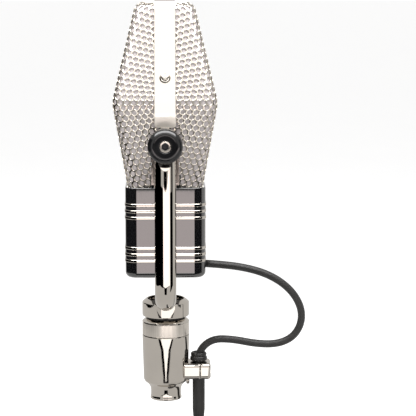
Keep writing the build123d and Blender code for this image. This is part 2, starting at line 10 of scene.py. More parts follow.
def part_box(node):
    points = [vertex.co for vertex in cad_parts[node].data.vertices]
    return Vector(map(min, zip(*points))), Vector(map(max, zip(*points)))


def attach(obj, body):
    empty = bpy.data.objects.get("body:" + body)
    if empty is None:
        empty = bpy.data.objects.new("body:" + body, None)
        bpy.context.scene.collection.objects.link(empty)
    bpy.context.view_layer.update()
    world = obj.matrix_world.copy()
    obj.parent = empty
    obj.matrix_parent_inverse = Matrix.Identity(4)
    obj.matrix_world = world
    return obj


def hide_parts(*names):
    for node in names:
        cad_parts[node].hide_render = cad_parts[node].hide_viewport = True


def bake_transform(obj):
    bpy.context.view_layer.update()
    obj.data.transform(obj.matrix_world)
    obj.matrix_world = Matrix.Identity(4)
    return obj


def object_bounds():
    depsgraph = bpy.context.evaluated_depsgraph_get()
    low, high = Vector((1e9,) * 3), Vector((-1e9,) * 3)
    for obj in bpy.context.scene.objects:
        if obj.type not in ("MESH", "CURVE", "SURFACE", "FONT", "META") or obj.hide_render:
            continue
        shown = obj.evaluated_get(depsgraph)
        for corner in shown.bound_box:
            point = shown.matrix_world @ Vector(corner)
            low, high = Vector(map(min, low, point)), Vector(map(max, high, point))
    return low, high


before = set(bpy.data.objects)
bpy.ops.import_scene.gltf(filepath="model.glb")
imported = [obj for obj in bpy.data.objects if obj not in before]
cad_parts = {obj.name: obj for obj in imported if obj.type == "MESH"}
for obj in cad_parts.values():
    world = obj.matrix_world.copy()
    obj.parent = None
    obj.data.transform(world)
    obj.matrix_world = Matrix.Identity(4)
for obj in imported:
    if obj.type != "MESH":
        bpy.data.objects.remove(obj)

bl_info = {
    "name": "Ribbon Microphone Builder",
    "version": (1, 0, 0),
    "blender": (4, 5, 0),
    "location": "3D View > Sidebar > Ribbon Mic",
    "description": "Builds a ribbon microphone with its yoke, stand mount and cable, piece by piece",
    "category": "Add Mesh",
}

MM = 0.001
CAD_BOX = [list(corner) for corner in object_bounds()]

# The case's corners and the pivot's height are read from the frame
CASE_LOW, CASE_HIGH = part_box("lower_case")
PIVOT = (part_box("yoke_bushings")[0].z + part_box("yoke_bushings")[1].z) / 2 / MM

# The yoke's arms and the head, in millimetres; the head's three levels are seam, crease and crown
ARM_X = 62.0
ARM_R = 8.75
HEAD_Z = (187.6, 257.5, 336.5)
HEAD_X = (48.2, 59.5, 35.0)
HEAD_Y = (31.0, 43.0, 24.1)
HEAD_CORNER = 8.0
CROWN_R = 6.5

# Where the cable leaves the case, passes the clamp and enters the plug, in metres
GLAND_SEAT = (0.012, 0.027, 0.1186)
CABLE_AXIS = Vector((0.0, 0.028, 0.0))
PLUG_TOP = (-0.0384, 0.0310, -0.14431)

MIRROR_X = Matrix.Scale(-1, 4, (1, 0, 0))


# ---- working in edit mode ---------------------------------------------------------------

def clear_selection():
    """Leave edit mode and select nothing."""
    if bpy.context.object and bpy.context.object.mode != "OBJECT":
        bpy.ops.object.mode_set(mode="OBJECT")
    bpy.ops.object.select_all(action="DESELECT")


def only(piece):
    """Make one piece the selected and active one."""
    clear_selection()
    piece.select_set(True)
    bpy.context.view_layer.objects.active = piece
    return piece


def open_piece(piece, select="SELECT"):
    """Enter edit mode with all or none of the piece selected."""
    only(piece)
    bpy.ops.object.mode_set(mode="EDIT")
    bpy.ops.mesh.select_mode(type="VERT")
    bpy.ops.mesh.select_all(action=select)


def close_piece():
    bpy.ops.object.mode_set(mode="OBJECT")


def pick(piece, kind, test):
    """In edit mode, select only the vertices, edges or faces that pass the test."""
    bpy.ops.mesh.select_mode(type=kind)
    bpy.ops.mesh.select_all(action="DESELECT")
    mesh = bmesh.from_edit_mesh(piece.data)
    for item in {"VERT": mesh.verts, "EDGE": mesh.edges, "FACE": mesh.faces}[kind]:
        if test(item):
            item.select_set(True)
    mesh.select_flush_mode()
    bmesh.update_edit_mesh(piece.data)


def drop_faces(piece, test):
    """Delete the faces that pass the test."""
    open_piece(piece, "DESELECT")
    pick(piece, "FACE", test)
    bpy.ops.mesh.delete(type="FACE")
    close_piece()


def even_normals(piece):
    """Turn every face outward."""
    open_piece(piece)
    bpy.ops.mesh.normals_make_consistent(inside=False)
    close_piece()


def weld(piece, distance=2e-6):
    open_piece(piece)
    bpy.ops.mesh.remove_doubles(threshold=distance)
    close_piece()


def apply_modifier(piece, kind, **settings):
    """Add one modifier, set it and apply it."""
    only(piece)
    modifier = piece.modifiers.new(kind.title(), kind)
    for key, value in settings.items():
        setattr(modifier, key, value)
    bpy.ops.object.modifier_apply(modifier=modifier.name)
    return piece


def soften(piece, width, segments=3, angle=30):
    """Round every edge sharper than the angle."""
    return apply_modifier(piece, "BEVEL", width=width * MM, segments=segments, limit_method="ANGLE",
                          angle_limit=math.radians(angle))


def cut_away(piece, cutter):
    """Cut one closed piece out of another and drop the cutter."""
    apply_modifier(piece, "BOOLEAN", operation="DIFFERENCE", object=cutter, solver="EXACT")
    bpy.data.objects.remove(cutter)
    return piece


def settle(piece):
    """Move the piece's place into its mesh."""
    only(piece)
    bpy.ops.object.transform_apply(location=True, rotation=True, scale=True)
    return piece


def join(pieces):
    only(pieces[0])
    for piece in pieces[1:]:
        piece.select_set(True)
    bpy.ops.object.join()
    return bpy.context.object


def duplicate(piece, matrix):
    """A moved copy with its own mesh, its faces turned outward if the move mirrors it."""
    copy = piece.copy()
    copy.data = piece.data.copy()
    bpy.context.scene.collection.objects.link(copy)
    copy.data.transform(matrix)
    if matrix.determinant() < 0:
        copy.data.flip_normals()
    return copy


def coat(piece, *names):
    """Give a piece these finishes and no others."""
    piece.data.materials.clear()
    for name in names:
        piece.data.materials.append(FINISHES[name])


def hand_over(piece, name, body, finish, stands_for=(), angle=35, weighted=True):
    """Name a finished piece, smooth it, give it its finish and hang it on its body; without a
    finish it keeps the ones it has."""
    settle(piece)
    piece.name = piece.data.name = name
    bpy.ops.object.shade_smooth_by_angle(angle=math.radians(angle))
    if weighted:
        apply_modifier(piece, "WEIGHTED_NORMAL", keep_sharp=True, weight=90)
    if finish:
        coat(piece, finish)
    if stands_for:
        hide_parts(*stands_for)
    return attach(piece, body)


# ---- shapes -------------------------------------------------------------------------------

def turned(profile, segments=96, closed=False):
    """A circle drawn up a profile of (radius, height) pairs in millimetres."""
    axis_r = 0.004
    radius, height = max(profile[0][0], axis_r), profile[0][1]
    clear_selection()
    bpy.ops.mesh.primitive_circle_add(vertices=segments, radius=radius * MM, fill_type="NOTHING",
                                      location=(0, 0, height * MM))
    piece = bpy.context.object
    settle(piece)
    open_piece(piece)
    for next_radius, next_height in list(profile[1:]) + ([profile[0]] if closed else []):
        next_radius = max(next_radius, axis_r)
        bpy.ops.mesh.extrude_region_move(
            TRANSFORM_OT_translate={"value": (0, 0, (next_height - height) * MM)})
        factor = next_radius / radius
        bpy.ops.transform.resize(value=(factor, factor, 1), center_override=(0, 0, 0))
        radius, height = next_radius, next_height
    close_piece()
    weld(piece, 3 * axis_r * MM)
    even_normals(piece)
    return piece


def aim(piece, origin, direction):
    """Turn a piece built on Z to stand at a point, along a direction."""
    turn = Vector(direction).to_track_quat("Z", "Y").to_matrix().to_4x4()
    piece.data.transform(Matrix.Translation(Vector(origin)) @ turn)
    return piece


def block(x, y, z):
    """A box between (low, high) pairs in millimetres."""
    middle = [(low + high) / 2 * MM for low, high in (x, y, z)]
    clear_selection()
    bpy.ops.mesh.primitive_cube_add(size=1, location=middle)
    piece = bpy.context.object
    piece.scale = [(high - low) * MM for low, high in (x, y, z)]
    return settle(piece)


def round_edges(piece, test, radius, segments=8):
    """Bevel the edges that pass the test."""
    open_piece(piece, "DESELECT")
    pick(piece, "EDGE", test)
    bpy.ops.mesh.bevel(offset=radius * MM, offset_type="OFFSET", segments=segments, affect="EDGES",
                       profile=0.5)
    close_piece()
    return piece


def along(axis):
    """A test for edges that run along an axis."""
    def test(edge):
        run = edge.verts[1].co - edge.verts[0].co
        return abs(run[axis]) > 0.999 * run.length
    return test


def prism(outline, low, high):
    """An outline of (x, z) pairs drawn through from one y to another, in millimetres."""
    clear_selection()
    bpy.ops.mesh.primitive_circle_add(vertices=len(outline), radius=0.01, fill_type="NGON")
    piece = bpy.context.object
    for vertex, (x, z) in zip(piece.data.vertices, outline):
        vertex.co = (x * MM, low * MM, z * MM)
    open_piece(piece)
    bpy.ops.mesh.extrude_region_move(TRANSFORM_OT_translate={"value": (0, (high - low) * MM, 0)})
    close_piece()
    even_normals(piece)
    return piece


def drawn(stations, segments=64):
    """A circle extruded from station to station in the XZ plane; a station is (centre, direction,
    radius)."""
    across = Vector((0, 1, 0))

    def point(station, angle):
        centre, direction, radius = station
        other = direction.cross(across).normalized()
        return centre + radius * (math.cos(angle) * across + math.sin(angle) * other)

    clear_selection()
    bpy.ops.mesh.primitive_circle_add(vertices=segments, radius=0.01, fill_type="NOTHING")
    piece = bpy.context.object
    for index, vertex in enumerate(piece.data.vertices):
        vertex.co = point(stations[0], 2 * math.pi * index / segments)
    open_piece(piece)
    for before, after in zip(stations, stations[1:]):
        bpy.ops.mesh.extrude_region_move(TRANSFORM_OT_translate={"value": (0, 0, 0)})
        mesh = bmesh.from_edit_mesh(piece.data)
        other = before[1].cross(across).normalized()
        for vertex in mesh.verts:
            if vertex.select:
                arm = vertex.co - before[0]
                vertex.co = point(after, math.atan2(arm.dot(other), arm.dot(across)))
        bmesh.update_edit_mesh(piece.data)
    close_piece()
    weld(piece, 2e-5)
    even_normals(piece)
    return piece


# ---- finishes -----------------------------------------------------------------------------

class Finish:
    """A material with one Principled shader, built up node by node."""

    def __init__(self, name, **sockets):
        self.material = bpy.data.materials.new(name)
        self.material.use_nodes = True
        self.tree = self.material.node_tree
        self.tree.nodes.clear()
        output = self.tree.nodes.new("ShaderNodeOutputMaterial")
        self.shader = self.tree.nodes.new("ShaderNodeBsdfPrincipled")
        self.tree.links.new(self.shader.outputs[0], output.inputs["Surface"])
        for key, value in sockets.items():
            self.shader.inputs[key.replace("_", " ")].default_value = value
        self.height = None

    def link(self, output, socket):
        self.tree.links.new(output, socket)

    def place(self, scale=(1, 1, 1), source="Object", turn=(0, 0, 0), location=(0, 0, 0)):
        """Where a pattern sits: the piece's own coordinates through a Mapping."""
        coordinates = self.tree.nodes.new("ShaderNodeTexCoord")
        mapping = self.tree.nodes.new("ShaderNodeMapping")
        mapping.inputs["Scale"].default_value = scale
        mapping.inputs["Rotation"].default_value = turn
        mapping.inputs["Location"].default_value = location
        self.link(coordinates.outputs[source], mapping.inputs["Vector"])
        return mapping.outputs[0]

    def split(self):
        """The piece's own coordinates as X, Y and Z."""
        node = self.tree.nodes.new("ShaderNodeSeparateXYZ")
        self.link(self.place(), node.inputs[0])
        return node.outputs

    def noise(self, scale, detail=2.0, at=None):
        node = self.tree.nodes.new("ShaderNodeTexNoise")
        node.inputs["Scale"].default_value = scale
        node.inputs["Detail"].default_value = detail
        self.link(at or self.place(), node.inputs["Vector"])
        return node.outputs["Fac"]

    def wave(self, scale, at, direction="X", kind="BANDS", distortion=0.0):
        node = self.tree.nodes.new("ShaderNodeTexWave")
        node.wave_type = kind
        if kind == "BANDS":
            node.bands_direction = direction
        else:
            node.rings_direction = direction
        node.inputs["Scale"].default_value = scale
        node.inputs["Distortion"].default_value = distortion
        self.link(at, node.inputs["Vector"])
        return node.outputs["Fac"]

    def combine(self, operation, first, second):
        node = self.tree.nodes.new("ShaderNodeMath")
        node.operation = operation
        for value, socket in ((first, node.inputs[0]), (second, node.inputs[1])):
            if isinstance(value, (int, float)):
                socket.default_value = value
            else:
                self.link(value, socket)
        return node.outputs[0]

    def colour(self, factor, low, high, start=0.3, end=0.7):
        """Base colour between two colours by a pattern."""
        ramp = self.tree.nodes.new("ShaderNodeValToRGB")
        ramp.color_ramp.elements[0].color = (*low, 1)
        ramp.color_ramp.elements[1].color = (*high, 1)
        ramp.color_ramp.elements[0].position = start
        ramp.color_ramp.elements[1].position = end
        self.link(factor, ramp.inputs[0])
        self.link(ramp.outputs[0], self.shader.inputs["Base Color"])
        return self

    def rough(self, factor, low, high, start=0.3, end=0.7):
        """Roughness between two values by a pattern."""
        spread = self.tree.nodes.new("ShaderNodeMapRange")
        for socket, value in (("From Min", start), ("From Max", end), ("To Min", low), ("To Max", high)):
            spread.inputs[socket].default_value = value
        self.link(factor, spread.inputs["Value"])
        self.link(spread.outputs[0], self.shader.inputs["Roughness"])
        return self

    def bump(self, factor, distance):
        """Relief of a given depth in millimetres, added to any relief before it."""
        node = self.tree.nodes.new("ShaderNodeBump")
        node.inputs["Strength"].default_value = 1.0
        node.inputs["Distance"].default_value = distance * MM
        self.link(factor, node.inputs["Height"])
        if self.height:
            self.link(self.height, node.inputs["Normal"])
        self.height = node.outputs[0]
        self.link(self.height, self.shader.inputs["Normal"])
        return self


def shade(colour, factor):
    return tuple(channel * factor for channel in colour)


def lifted(colour, amount):
    return tuple(channel + amount for channel in colour)


def nickel_finish(name, colour, low=0.02, high=0.05, waviness=0.01, wear=0.93):
    """Polished nickel plate: faint hand-polished waves, smudges and tone."""
    finish = Finish(name, Metallic=1.0)
    finish.colour(finish.noise(45, 3), shade(colour, wear), colour)
    finish.rough(finish.noise(120, 4), low, high)
    if waviness:
        finish.bump(finish.noise(70, 1), waviness)
    return finish.material


def channel_finish_painted_web_shade(name, colour, foot_z=0.1915):
    """Nickel-plated channel with painted shade: the colour is painted dark down in the web, and the edges
    and the foot keep the bright nickel.
    """
    finish = Finish(name, Metallic=1.0)
    split = finish.split()
    outward = finish.combine("ABSOLUTE", split["Y"], 0)
    foot = finish.combine("LESS_THAN", split["Z"], foot_z)
    edge = finish.combine("ADD", outward, finish.combine("MULTIPLY", foot, 0.01))
    edge = finish.combine("ADD", edge, finish.combine("MULTIPLY", finish.noise(300, 3), 0.0001))
    # painted shade: the web is coloured 0.03 of the nickel, and the outer edges and the foot keep the
    # nickel colour
    finish.colour(edge, shade(colour, 0.03), colour, 0.01055, 0.0107)
    finish.rough(finish.noise(200, 3), 0.08, 0.16)
    return finish.material


def band_finish_painted_highlight(name, colour, painted_highlight_z=0.2455, polished_z=0.2475):
    """Polished nickel with a painted highlight at the two ends of the band: towards each end the colour is
    painted a pale near-white and the surface is rougher.
    """
    finish = Finish(name, Metallic=1.0)
    split = finish.split()
    waver = finish.combine("MULTIPLY", finish.noise(40, 3), 0.0004)
    # painted highlight: towards the lower end the colour turns a pale near-white, brighter than the nickel
    finish.colour(finish.combine("ADD", split["Z"], waver), (1.0, 0.95, 0.88), colour, painted_highlight_z, polished_z)
    finish.rough(split["Z"], 0.06, 0.42, polished_z, painted_highlight_z)
    return finish.material


def turned_nickel_finish(name, colour, pitch=900, deep=0.004):
    """Nickel with the fine upright marks of a knurling or brushing pass."""
    finish = Finish(name, Metallic=1.0)
    marks = finish.noise(pitch, 2, finish.place((1, 1, 0.02)))
    finish.colour(marks, shade(colour, 0.80), colour)
    finish.rough(finish.noise(300, 3, finish.place((1, 1, 0.05))), 0.28, 0.42)
    finish.bump(marks, deep)
    return finish.material


def lacquer_finish(name, colour):
    """Gloss black lacquer with a trace of orange peel and dust-fine variation."""
    finish = Finish(name, IOR=1.5, Coat_Weight=1.0, Coat_Roughness=0.02, Coat_IOR=1.95)
    finish.colour(finish.noise(30, 3), colour, lifted(colour, 0.002))
    finish.rough(finish.noise(90, 3), 0.02, 0.05)
    finish.bump(finish.noise(160, 1), 0.004)
    return finish.material


def knob_finish(name, colour):
    """Black moulding turned on a lathe: faint rings about the pivot."""
    finish = Finish(name, IOR=1.5, Specular_IOR_Level=0.0, Coat_Weight=1.0, Coat_Roughness=0.02,
                    Coat_IOR=1.55)
    rings = finish.wave(150, finish.place(location=(0, 0, -PIVOT * MM)), direction="X", kind="RINGS")
    finish.colour(finish.noise(60, 3), colour, lifted(colour, 0.004))
    finish.rough(finish.noise(200, 3), 0.10, 0.18)
    finish.bump(rings, 0.0015)
    return finish.material


def cloth_finish(name, colour, thread=0.42):
    """A fine plain weave behind the grille."""
    finish = Finish(name, Sheen_Weight=0.25, Sheen_Roughness=0.5)
    scale = math.pi / (10 * thread * MM)
    around = finish.wave(scale, finish.place((1, 1, 0)), "DIAGONAL")
    up = finish.wave(scale, finish.place(), "Z")
    weave = finish.combine("MULTIPLY", around, up)
    mottle = finish.combine("ADD", finish.combine("MULTIPLY", weave, 0.6), finish.noise(80, 3))
    finish.colour(mottle, shade(colour, 0.80), colour, 0.3, 1.1)
    finish.rough(mottle, 0.85, 0.95)
    finish.bump(weave, 0.05)
    return finish.material


def braid_finish(name, colour, strands=22, pitch=0.55):
    """A tight braided jacket; U goes round the cable and V along it, one unit per turn round."""
    finish = Finish(name, Sheen_Weight=0.25, Sheen_Roughness=0.4, IOR=1.45)
    one = finish.wave(strands * math.pi / 10, finish.place((1, pitch, 0), "UV"), "DIAGONAL")
    two = finish.wave(strands * math.pi / 10, finish.place((-1, pitch, 0), "UV"), "DIAGONAL")
    plait = finish.combine("MAXIMUM", one, two)
    finish.colour(finish.combine("MULTIPLY", plait, finish.noise(220, 3)), shade(colour, 0.55),
                  shade(colour, 1.35), 0.1, 0.6)
    finish.rough(plait, 0.58, 0.42)
    finish.bump(plait, 0.09)
    return finish.material


def rubber_finish(name, colour, grain=900):
    finish = Finish(name, IOR=1.45)
    finish.colour(finish.noise(70, 3), colour, lifted(colour, 0.008))
    finish.rough(finish.noise(150, 3), 0.28, 0.45)
    finish.bump(finish.noise(grain, 3), 0.02)
    return finish.material


def strap_finish(name, colour):
    """Hook-and-loop tape: short pile in close rows."""
    finish = Finish(name, Sheen_Weight=0.5, Sheen_Roughness=0.6)
    rows = finish.wave(math.pi / 0.009, finish.place(), "Y")
    pile = finish.combine("MULTIPLY", rows, finish.noise(1400, 3))
    finish.colour(pile, shade(colour, 0.6), shade(colour, 1.6), 0.05, 0.5)
    finish.rough(pile, 0.8, 0.95)
    finish.bump(pile, 0.15)
    return finish.material


def plain_metal_finish(name, colour, low, high, grain=(1, 1, 1), depth=0.01, scale=400):
    """Cast, rolled, drawn or plated metal inside the microphone."""
    finish = Finish(name, Metallic=1.0)
    lines = finish.noise(scale, 4, finish.place(grain))
    finish.colour(lines, shade(colour, 0.7), colour)
    finish.rough(lines, low, high)
    finish.bump(lines, depth)
    return finish.material


def board_finish(name, colour):
    """Paper-based laminate with a printed-looking layer grain."""
    finish = Finish(name, IOR=1.5)
    layers = finish.noise(160, 4, finish.place((1, 1, 12)))
    finish.colour(layers, shade(colour, 0.7), shade(colour, 1.2))
    finish.rough(layers, 0.35, 0.55)
    finish.bump(layers, 0.01)
    return finish.material


def winding_finish(name, colour):
    """Enamelled wire laid side by side."""
    finish = Finish(name, Metallic=0.8, Coat_Weight=0.5, Coat_Roughness=0.15)
    wires = finish.wave(math.pi / 0.003, finish.place(), "Z", distortion=0.3)
    finish.colour(wires, shade(colour, 0.45), colour)
    finish.rough(wires, 0.4, 0.25)
    finish.bump(wires, 0.1)
    return finish.material


def lamination_finish(name, colour):
    """Stacked iron laminations."""
    finish = Finish(name, Metallic=0.9)
    sheets = finish.wave(math.pi / 0.005, finish.place(), "Y", distortion=0.1)
    finish.colour(sheets, shade(colour, 0.5), colour)
    finish.rough(sheets, 0.55, 0.4)
    finish.bump(sheets, 0.05)
    return finish.material


FINISHES = {}


def make_finishes(tones):
    """Every finish on the microphone, by the maker's name for it."""
    nickel, lacquer = tuple(tones.nickel), tuple(tones.lacquer)
    FINISHES.update(
        nickel=nickel_finish("polished nickel", nickel),
        # the band's finish has a painted highlight at its lower ends
        band_nickel=band_finish_painted_highlight("band nickel painted highlight", nickel),
        cap_nickel=turned_nickel_finish("brushed nickel ring", shade(nickel, 1.35)),
        grille_nickel=nickel_finish("grille nickel", tuple(tones.grille), 0.07, 0.14, 0.0, 0.88),
        ring_nickel=nickel_finish("trim ring nickel", shade(nickel, 1.08), 0.05, 0.10, 0.0),
        screw_nickel=nickel_finish("screw nickel", shade(nickel, 0.95), 0.08, 0.16, 0.0, 0.85),
        # the channel's finish has painted shade down in its web
        channel_nickel=channel_finish_painted_web_shade("channel nickel painted shade", nickel),
        lacquer=lacquer_finish("black lacquer", lacquer),
        knob=knob_finish("knob black", lacquer),
        liner=cloth_finish("liner cloth", tuple(tones.liner)),
        jacket=braid_finish("braided jacket", tuple(tones.cable)),
        rubber=rubber_finish("black rubber", shade(tuple(tones.cable), 0.5)),
        strap=strap_finish("tie tape", (0.02, 0.02, 0.022)),
        magnet=plain_metal_finish("cast magnet", (0.23, 0.22, 0.21), 0.5, 0.7, depth=0.08,
                                  scale=250),
        steel=plain_metal_finish("zinc steel", (0.52, 0.52, 0.53), 0.22, 0.4, (1, 1, 0.2)),
        pole=plain_metal_finish("soft iron", (0.42, 0.41, 0.40), 0.25, 0.4, (1, 1, 0.1)),
        brass=plain_metal_finish("brass plate", (0.72, 0.53, 0.24), 0.15, 0.35),
        foil=plain_metal_finish("ribbon foil", (0.86, 0.86, 0.87), 0.15, 0.3, depth=0.003, scale=700),
        blackened=plain_metal_finish("blackened screw", (0.05, 0.05, 0.055), 0.3, 0.45),
        board=board_finish("laminate board", (0.16, 0.07, 0.03)),
        winding=winding_finish("copper winding", (0.62, 0.26, 0.10)),
        core=lamination_finish("iron laminations", (0.28, 0.27, 0.27)),
        fibre=board_finish("fibre washer", (0.10, 0.03, 0.02)),
        dark=rubber_finish("dark felt", (0.006, 0.006, 0.006), 500),
    )


# ---- the head's form ------------------------------------------------------------------------

LOWER_RUN = math.hypot(HEAD_Z[1] - HEAD_Z[0], HEAD_X[1] - HEAD_X[0])
UPPER_RUN = math.hypot(HEAD_Z[2] - HEAD_Z[1], (HEAD_X[1] - HEAD_X[2] + HEAD_Y[1] - HEAD_Y[2]) / 2)
SIDE_SLOPE = math.atan2(HEAD_X[1] - HEAD_X[2], HEAD_Z[2] - HEAD_Z[1])
FRONT_SLOPE = math.atan2(HEAD_Y[1] - HEAD_Y[2], HEAD_Z[2] - HEAD_Z[1])
CROWN_START = LOWER_RUN + 76.9       # where the slope meets the rounded top edge
CROWN_RUN = 8.5                      # length round the top edge
CREASE_SOFT = 6.0


def knee(run, low, high):
    """A line bent at the crease, its corner softened; low and high are its two slopes."""
    past = run - LOWER_RUN
    hard = np.where(past < 0, low * past, high * past)
    soft = (high + low) / 2 * past + (high - low) * (past ** 2 + CREASE_SOFT ** 2) / (4 * CREASE_SOFT)
    return np.where(np.abs(past) < CREASE_SOFT, soft, hard)


def head_section(run, inset):
    """Half width, half depth, corner radius and the two heights at a distance up the slope."""
    below, above = HEAD_Z[1] - HEAD_Z[0], HEAD_Z[2] - HEAD_Z[1]
    half_x, half_y = (half[1] + knee(run, (half[1] - half[0]) / LOWER_RUN, (half[2] - half[1]) / UPPER_RUN)
                      for half in (HEAD_X, HEAD_Y))
    height = HEAD_Z[1] + knee(run, below / LOWER_RUN, above / UPPER_RUN)
    turn = np.clip((run - CROWN_START) / CROWN_RUN, 0, 1)
    on_crown = run > CROWN_START
    result = []
    for half, slope, crown in ((half_x, SIDE_SLOPE, HEAD_X[2]), (half_y, FRONT_SLOPE, HEAD_Y[2])):
        centre = crown - CROWN_R * (1 - math.sin(slope)) / math.cos(slope)
        angle = slope + (math.pi / 2 - slope) * turn
        radius = CROWN_R - inset
        arc_half = centre + radius * np.cos(angle)
        arc_height = HEAD_Z[2] - CROWN_R + radius * np.sin(angle)
        flat_half = half - inset * math.cos(slope)
        flat_height = height - inset * math.sin(slope) * (run > LOWER_RUN)
        result.append((np.where(on_crown, arc_half, flat_half),
                       np.where(on_crown, arc_height, flat_height)))
    (half_x, side_height), (half_y, front_height) = result
    drawn_in = np.where(on_crown, HEAD_X[2] - (half_x + inset * np.cos(np.pi / 2 * turn)), 0)
    corner = np.clip(HEAD_CORNER - inset - np.clip(drawn_in, 0, None), 2.0, None)
    return half_x, half_y, corner, side_height, front_height


def head_point(around, run, inset):
    """A point on the front half: around is the distance from the front's middle, in millimetres."""
    half_x, half_y, corner, side_height, front_height = head_section(run, inset)
    beyond = np.clip(run - CROWN_START - CROWN_RUN, 0, None)
    straight = half_x - corner
    arc = corner * math.pi / 2
    turn = np.clip((around - straight) / corner, 0, math.pi / 2)
    side = np.clip(around - straight - arc, 0, None)
    x = np.minimum(around, straight) + corner * np.sin(turn)
    y = -(half_y - corner) - corner * np.cos(turn) + side + beyond
    z = front_height + (side_height - front_height) * turn / (math.pi / 2)
    return x, y, z


def lattice_to_head(across, up, inset, gather, lean):
    """Press the flat perforated sheet on to the head: its columns draw together towards the narrow
    ends and its rows rise from the seam to the corners above the crease, and fall below it."""
    rise = up - LOWER_RUN
    half_x, _, corner, _, _ = head_section(np.minimum(up, CROWN_START), 0.0)
    straight = half_x - corner
    shift = gather * np.abs(np.where(rise > 0, rise, 0.75 * rise))
    reach = straight + shift
    wide = np.abs(across)
    around = wide - shift * np.minimum(wide / reach, 1.0)
    degrees = np.interp(rise, (-60, -22, 0, 9, 21, 40, 68), (-10, -8.5, 0, 2.5, 7.5, 12, 15)) * lean
    past = around - (straight + corner * 0.8)
    past = np.where(past > 6, past, np.where(past < -6, 0, (past + 6) ** 2 / 24))
    run = up - np.tan(np.radians(degrees)) * past
    flat_top = CROWN_START + CROWN_RUN
    on_side = around > half_x - corner
    run = np.where(on_side, np.minimum(run, flat_top), run)
    x, y, z = head_point(around, run, inset)
    return np.sign(across) * x, y, z


# ---- settings -----------------------------------------------------------------------------

class RibbonMicSizes(bpy.types.PropertyGroup):
    """Sizes of the grille and the cable."""
    hole_pitch: FloatProperty(name="Hole pitch", description="Distance between hole centres (mm)",
                              default=5.35, min=3.0, max=10.0)
    hole_size: FloatProperty(name="Hole size", description="Diameter of the grille's holes (mm)",
                             default=4.40, min=1.0, max=9.0)
    sheet_wall: FloatProperty(name="Sheet wall", description="Thickness of the pressed grille",
                              default=0.0008, unit="LENGTH", subtype="DISTANCE")
    gather: FloatProperty(name="Gather", default=0.13, min=0.0, max=0.3,
                          description="How fast the columns draw together up the slope")
    lean: FloatProperty(name="Row lean", default=1.0, min=0.0, max=2.0,
                        description="How far the rows lean on the side faces, 1 is as made")
    cable_length: FloatProperty(name="Cable length", description="From the case to the plug",
                                default=3.0, unit="LENGTH", subtype="DISTANCE")
    cable_diameter: FloatProperty(name="Cable diameter", description="Outside the braid",
                                  default=0.0064, unit="LENGTH", subtype="DISTANCE")
    coil_radius: FloatProperty(name="Coil radius", description="To the middle of the coil's turns",
                               default=0.0384, unit="LENGTH", subtype="DISTANCE")
    coil_turns: IntProperty(name="Coil turns", description="Whole turns in the tied coil", default=11)


class RibbonMicTones(bpy.types.PropertyGroup):
    """Base colours of the finishes."""
    nickel: FloatVectorProperty(name="Nickel", description="Polished nickel plate", subtype="COLOR",
                                default=(0.63, 0.59, 0.54), min=0, max=1)
    grille: FloatVectorProperty(name="Grille", description="Nickel on the perforated grille",
                                subtype="COLOR", default=(0.66, 0.62, 0.56), min=0, max=1)
    lacquer: FloatVectorProperty(name="Lacquer", description="Gloss lacquer and the knobs",
                                 subtype="COLOR", default=(0.004, 0.004, 0.0045), min=0, max=1)
    liner: FloatVectorProperty(name="Liner", description="Cloth behind the grille", subtype="COLOR",
                               default=(0.50, 0.455, 0.455), min=0, max=1)
    cable: FloatVectorProperty(name="Cable", description="Braided jacket", subtype="COLOR",
                               default=(0.012, 0.0115, 0.011), min=0, max=1)


class RibbonMicStudio(bpy.types.PropertyGroup):
    """Light levels of the stage."""
    surround: FloatProperty(name="Surround", description="Brightness of the white surroundings",
                            default=0.68, min=0.0, max=10.0)
    fill: FloatProperty(name="Fill", description="Brightness of the soft light that fills the shadows",
                        default=0.16, min=0.0, max=10.0)
    overhead: FloatProperty(name="Overhead box", description="Power of the overhead soft box (W)",
                            default=42.0, min=0.0, max=500.0)
    front_top: FloatProperty(name="Front box", description="Power of the high front soft box (W)",
                             default=4.4, min=0.0, max=500.0)
    panel: FloatProperty(name="Front panel", description="Brightness of the low front panel",
                         default=2.45, min=0.0, max=50.0)


# ---- the cable ------------------------------------------------------------------------------

COIL_CENTRE_Z = -0.09431


def cable_points(sizes):
    """The cable's control points in metres: the free loop, the drop, the coil and the tail."""
    loop = [
        (0.0120, 0.0332, 0.1186), (0.0119, 0.0500, 0.1174), (0.0114, 0.0680, 0.1146),
        (0.0104, 0.0845, 0.1096), (0.0092, 0.0985, 0.1016), (0.0079, 0.1093, 0.0908),
        (0.0067, 0.1156, 0.0774), (0.0055, 0.1150, 0.0639), (0.0044, 0.1076, 0.0526),
        (0.0034, 0.0945, 0.0470), (0.0023, 0.0770, 0.0472), (0.0012, 0.0575, 0.0510),
        (0.0003, 0.0396, 0.0514), (0.0000, 0.0280, 0.0410), (0.0000, 0.0280, 0.0260),
    ]
    drop = [(0.0, 0.028, -0.040)]
    tail = [(-0.0410, 0.0285, -0.1200), (-0.0390, 0.0292, -0.12631), PLUG_TOP]
    return loop + drop + coil_points(sizes) + tail


def coil_slots():
    """Where each turn lies in the tied bundle: nine turns round two, in cable diameters."""
    outer = [(1.4625 * math.cos(a), 1.4625 * math.sin(a))
             for a in (math.radians(20 + 40 * index) for index in range(9))]
    inner = [(0.36, 0.36), (-0.36, -0.36)]
    return outer[:5] + inner + outer[5:] + [outer[0]]


def coil_points(sizes, per_turn=16):
    """Points round the coil, drifting from slot to slot as the turns lie on each other."""
    slots = coil_slots()
    start, last = math.radians(135), sizes.coil_turns + 0.125
    points = []
    count = int(last * per_turn)
    for index in range(count + 1):
        turns = index / per_turn
        slot = min(int(turns), len(slots) - 2)
        part = turns - slot
        (out_a, side_a), (out_b, side_b) = slots[slot], slots[slot + 1]
        outward = (out_a + (out_b - out_a) * part) * sizes.cable_diameter
        sideways = (side_a + (side_b - side_a) * part) * sizes.cable_diameter
        radius = sizes.coil_radius + outward
        angle = start + 2 * math.pi * turns
        points.append((radius * math.cos(angle), CABLE_AXIS.y + sideways,
                       COIL_CENTRE_Z + radius * math.sin(angle)))
    return points


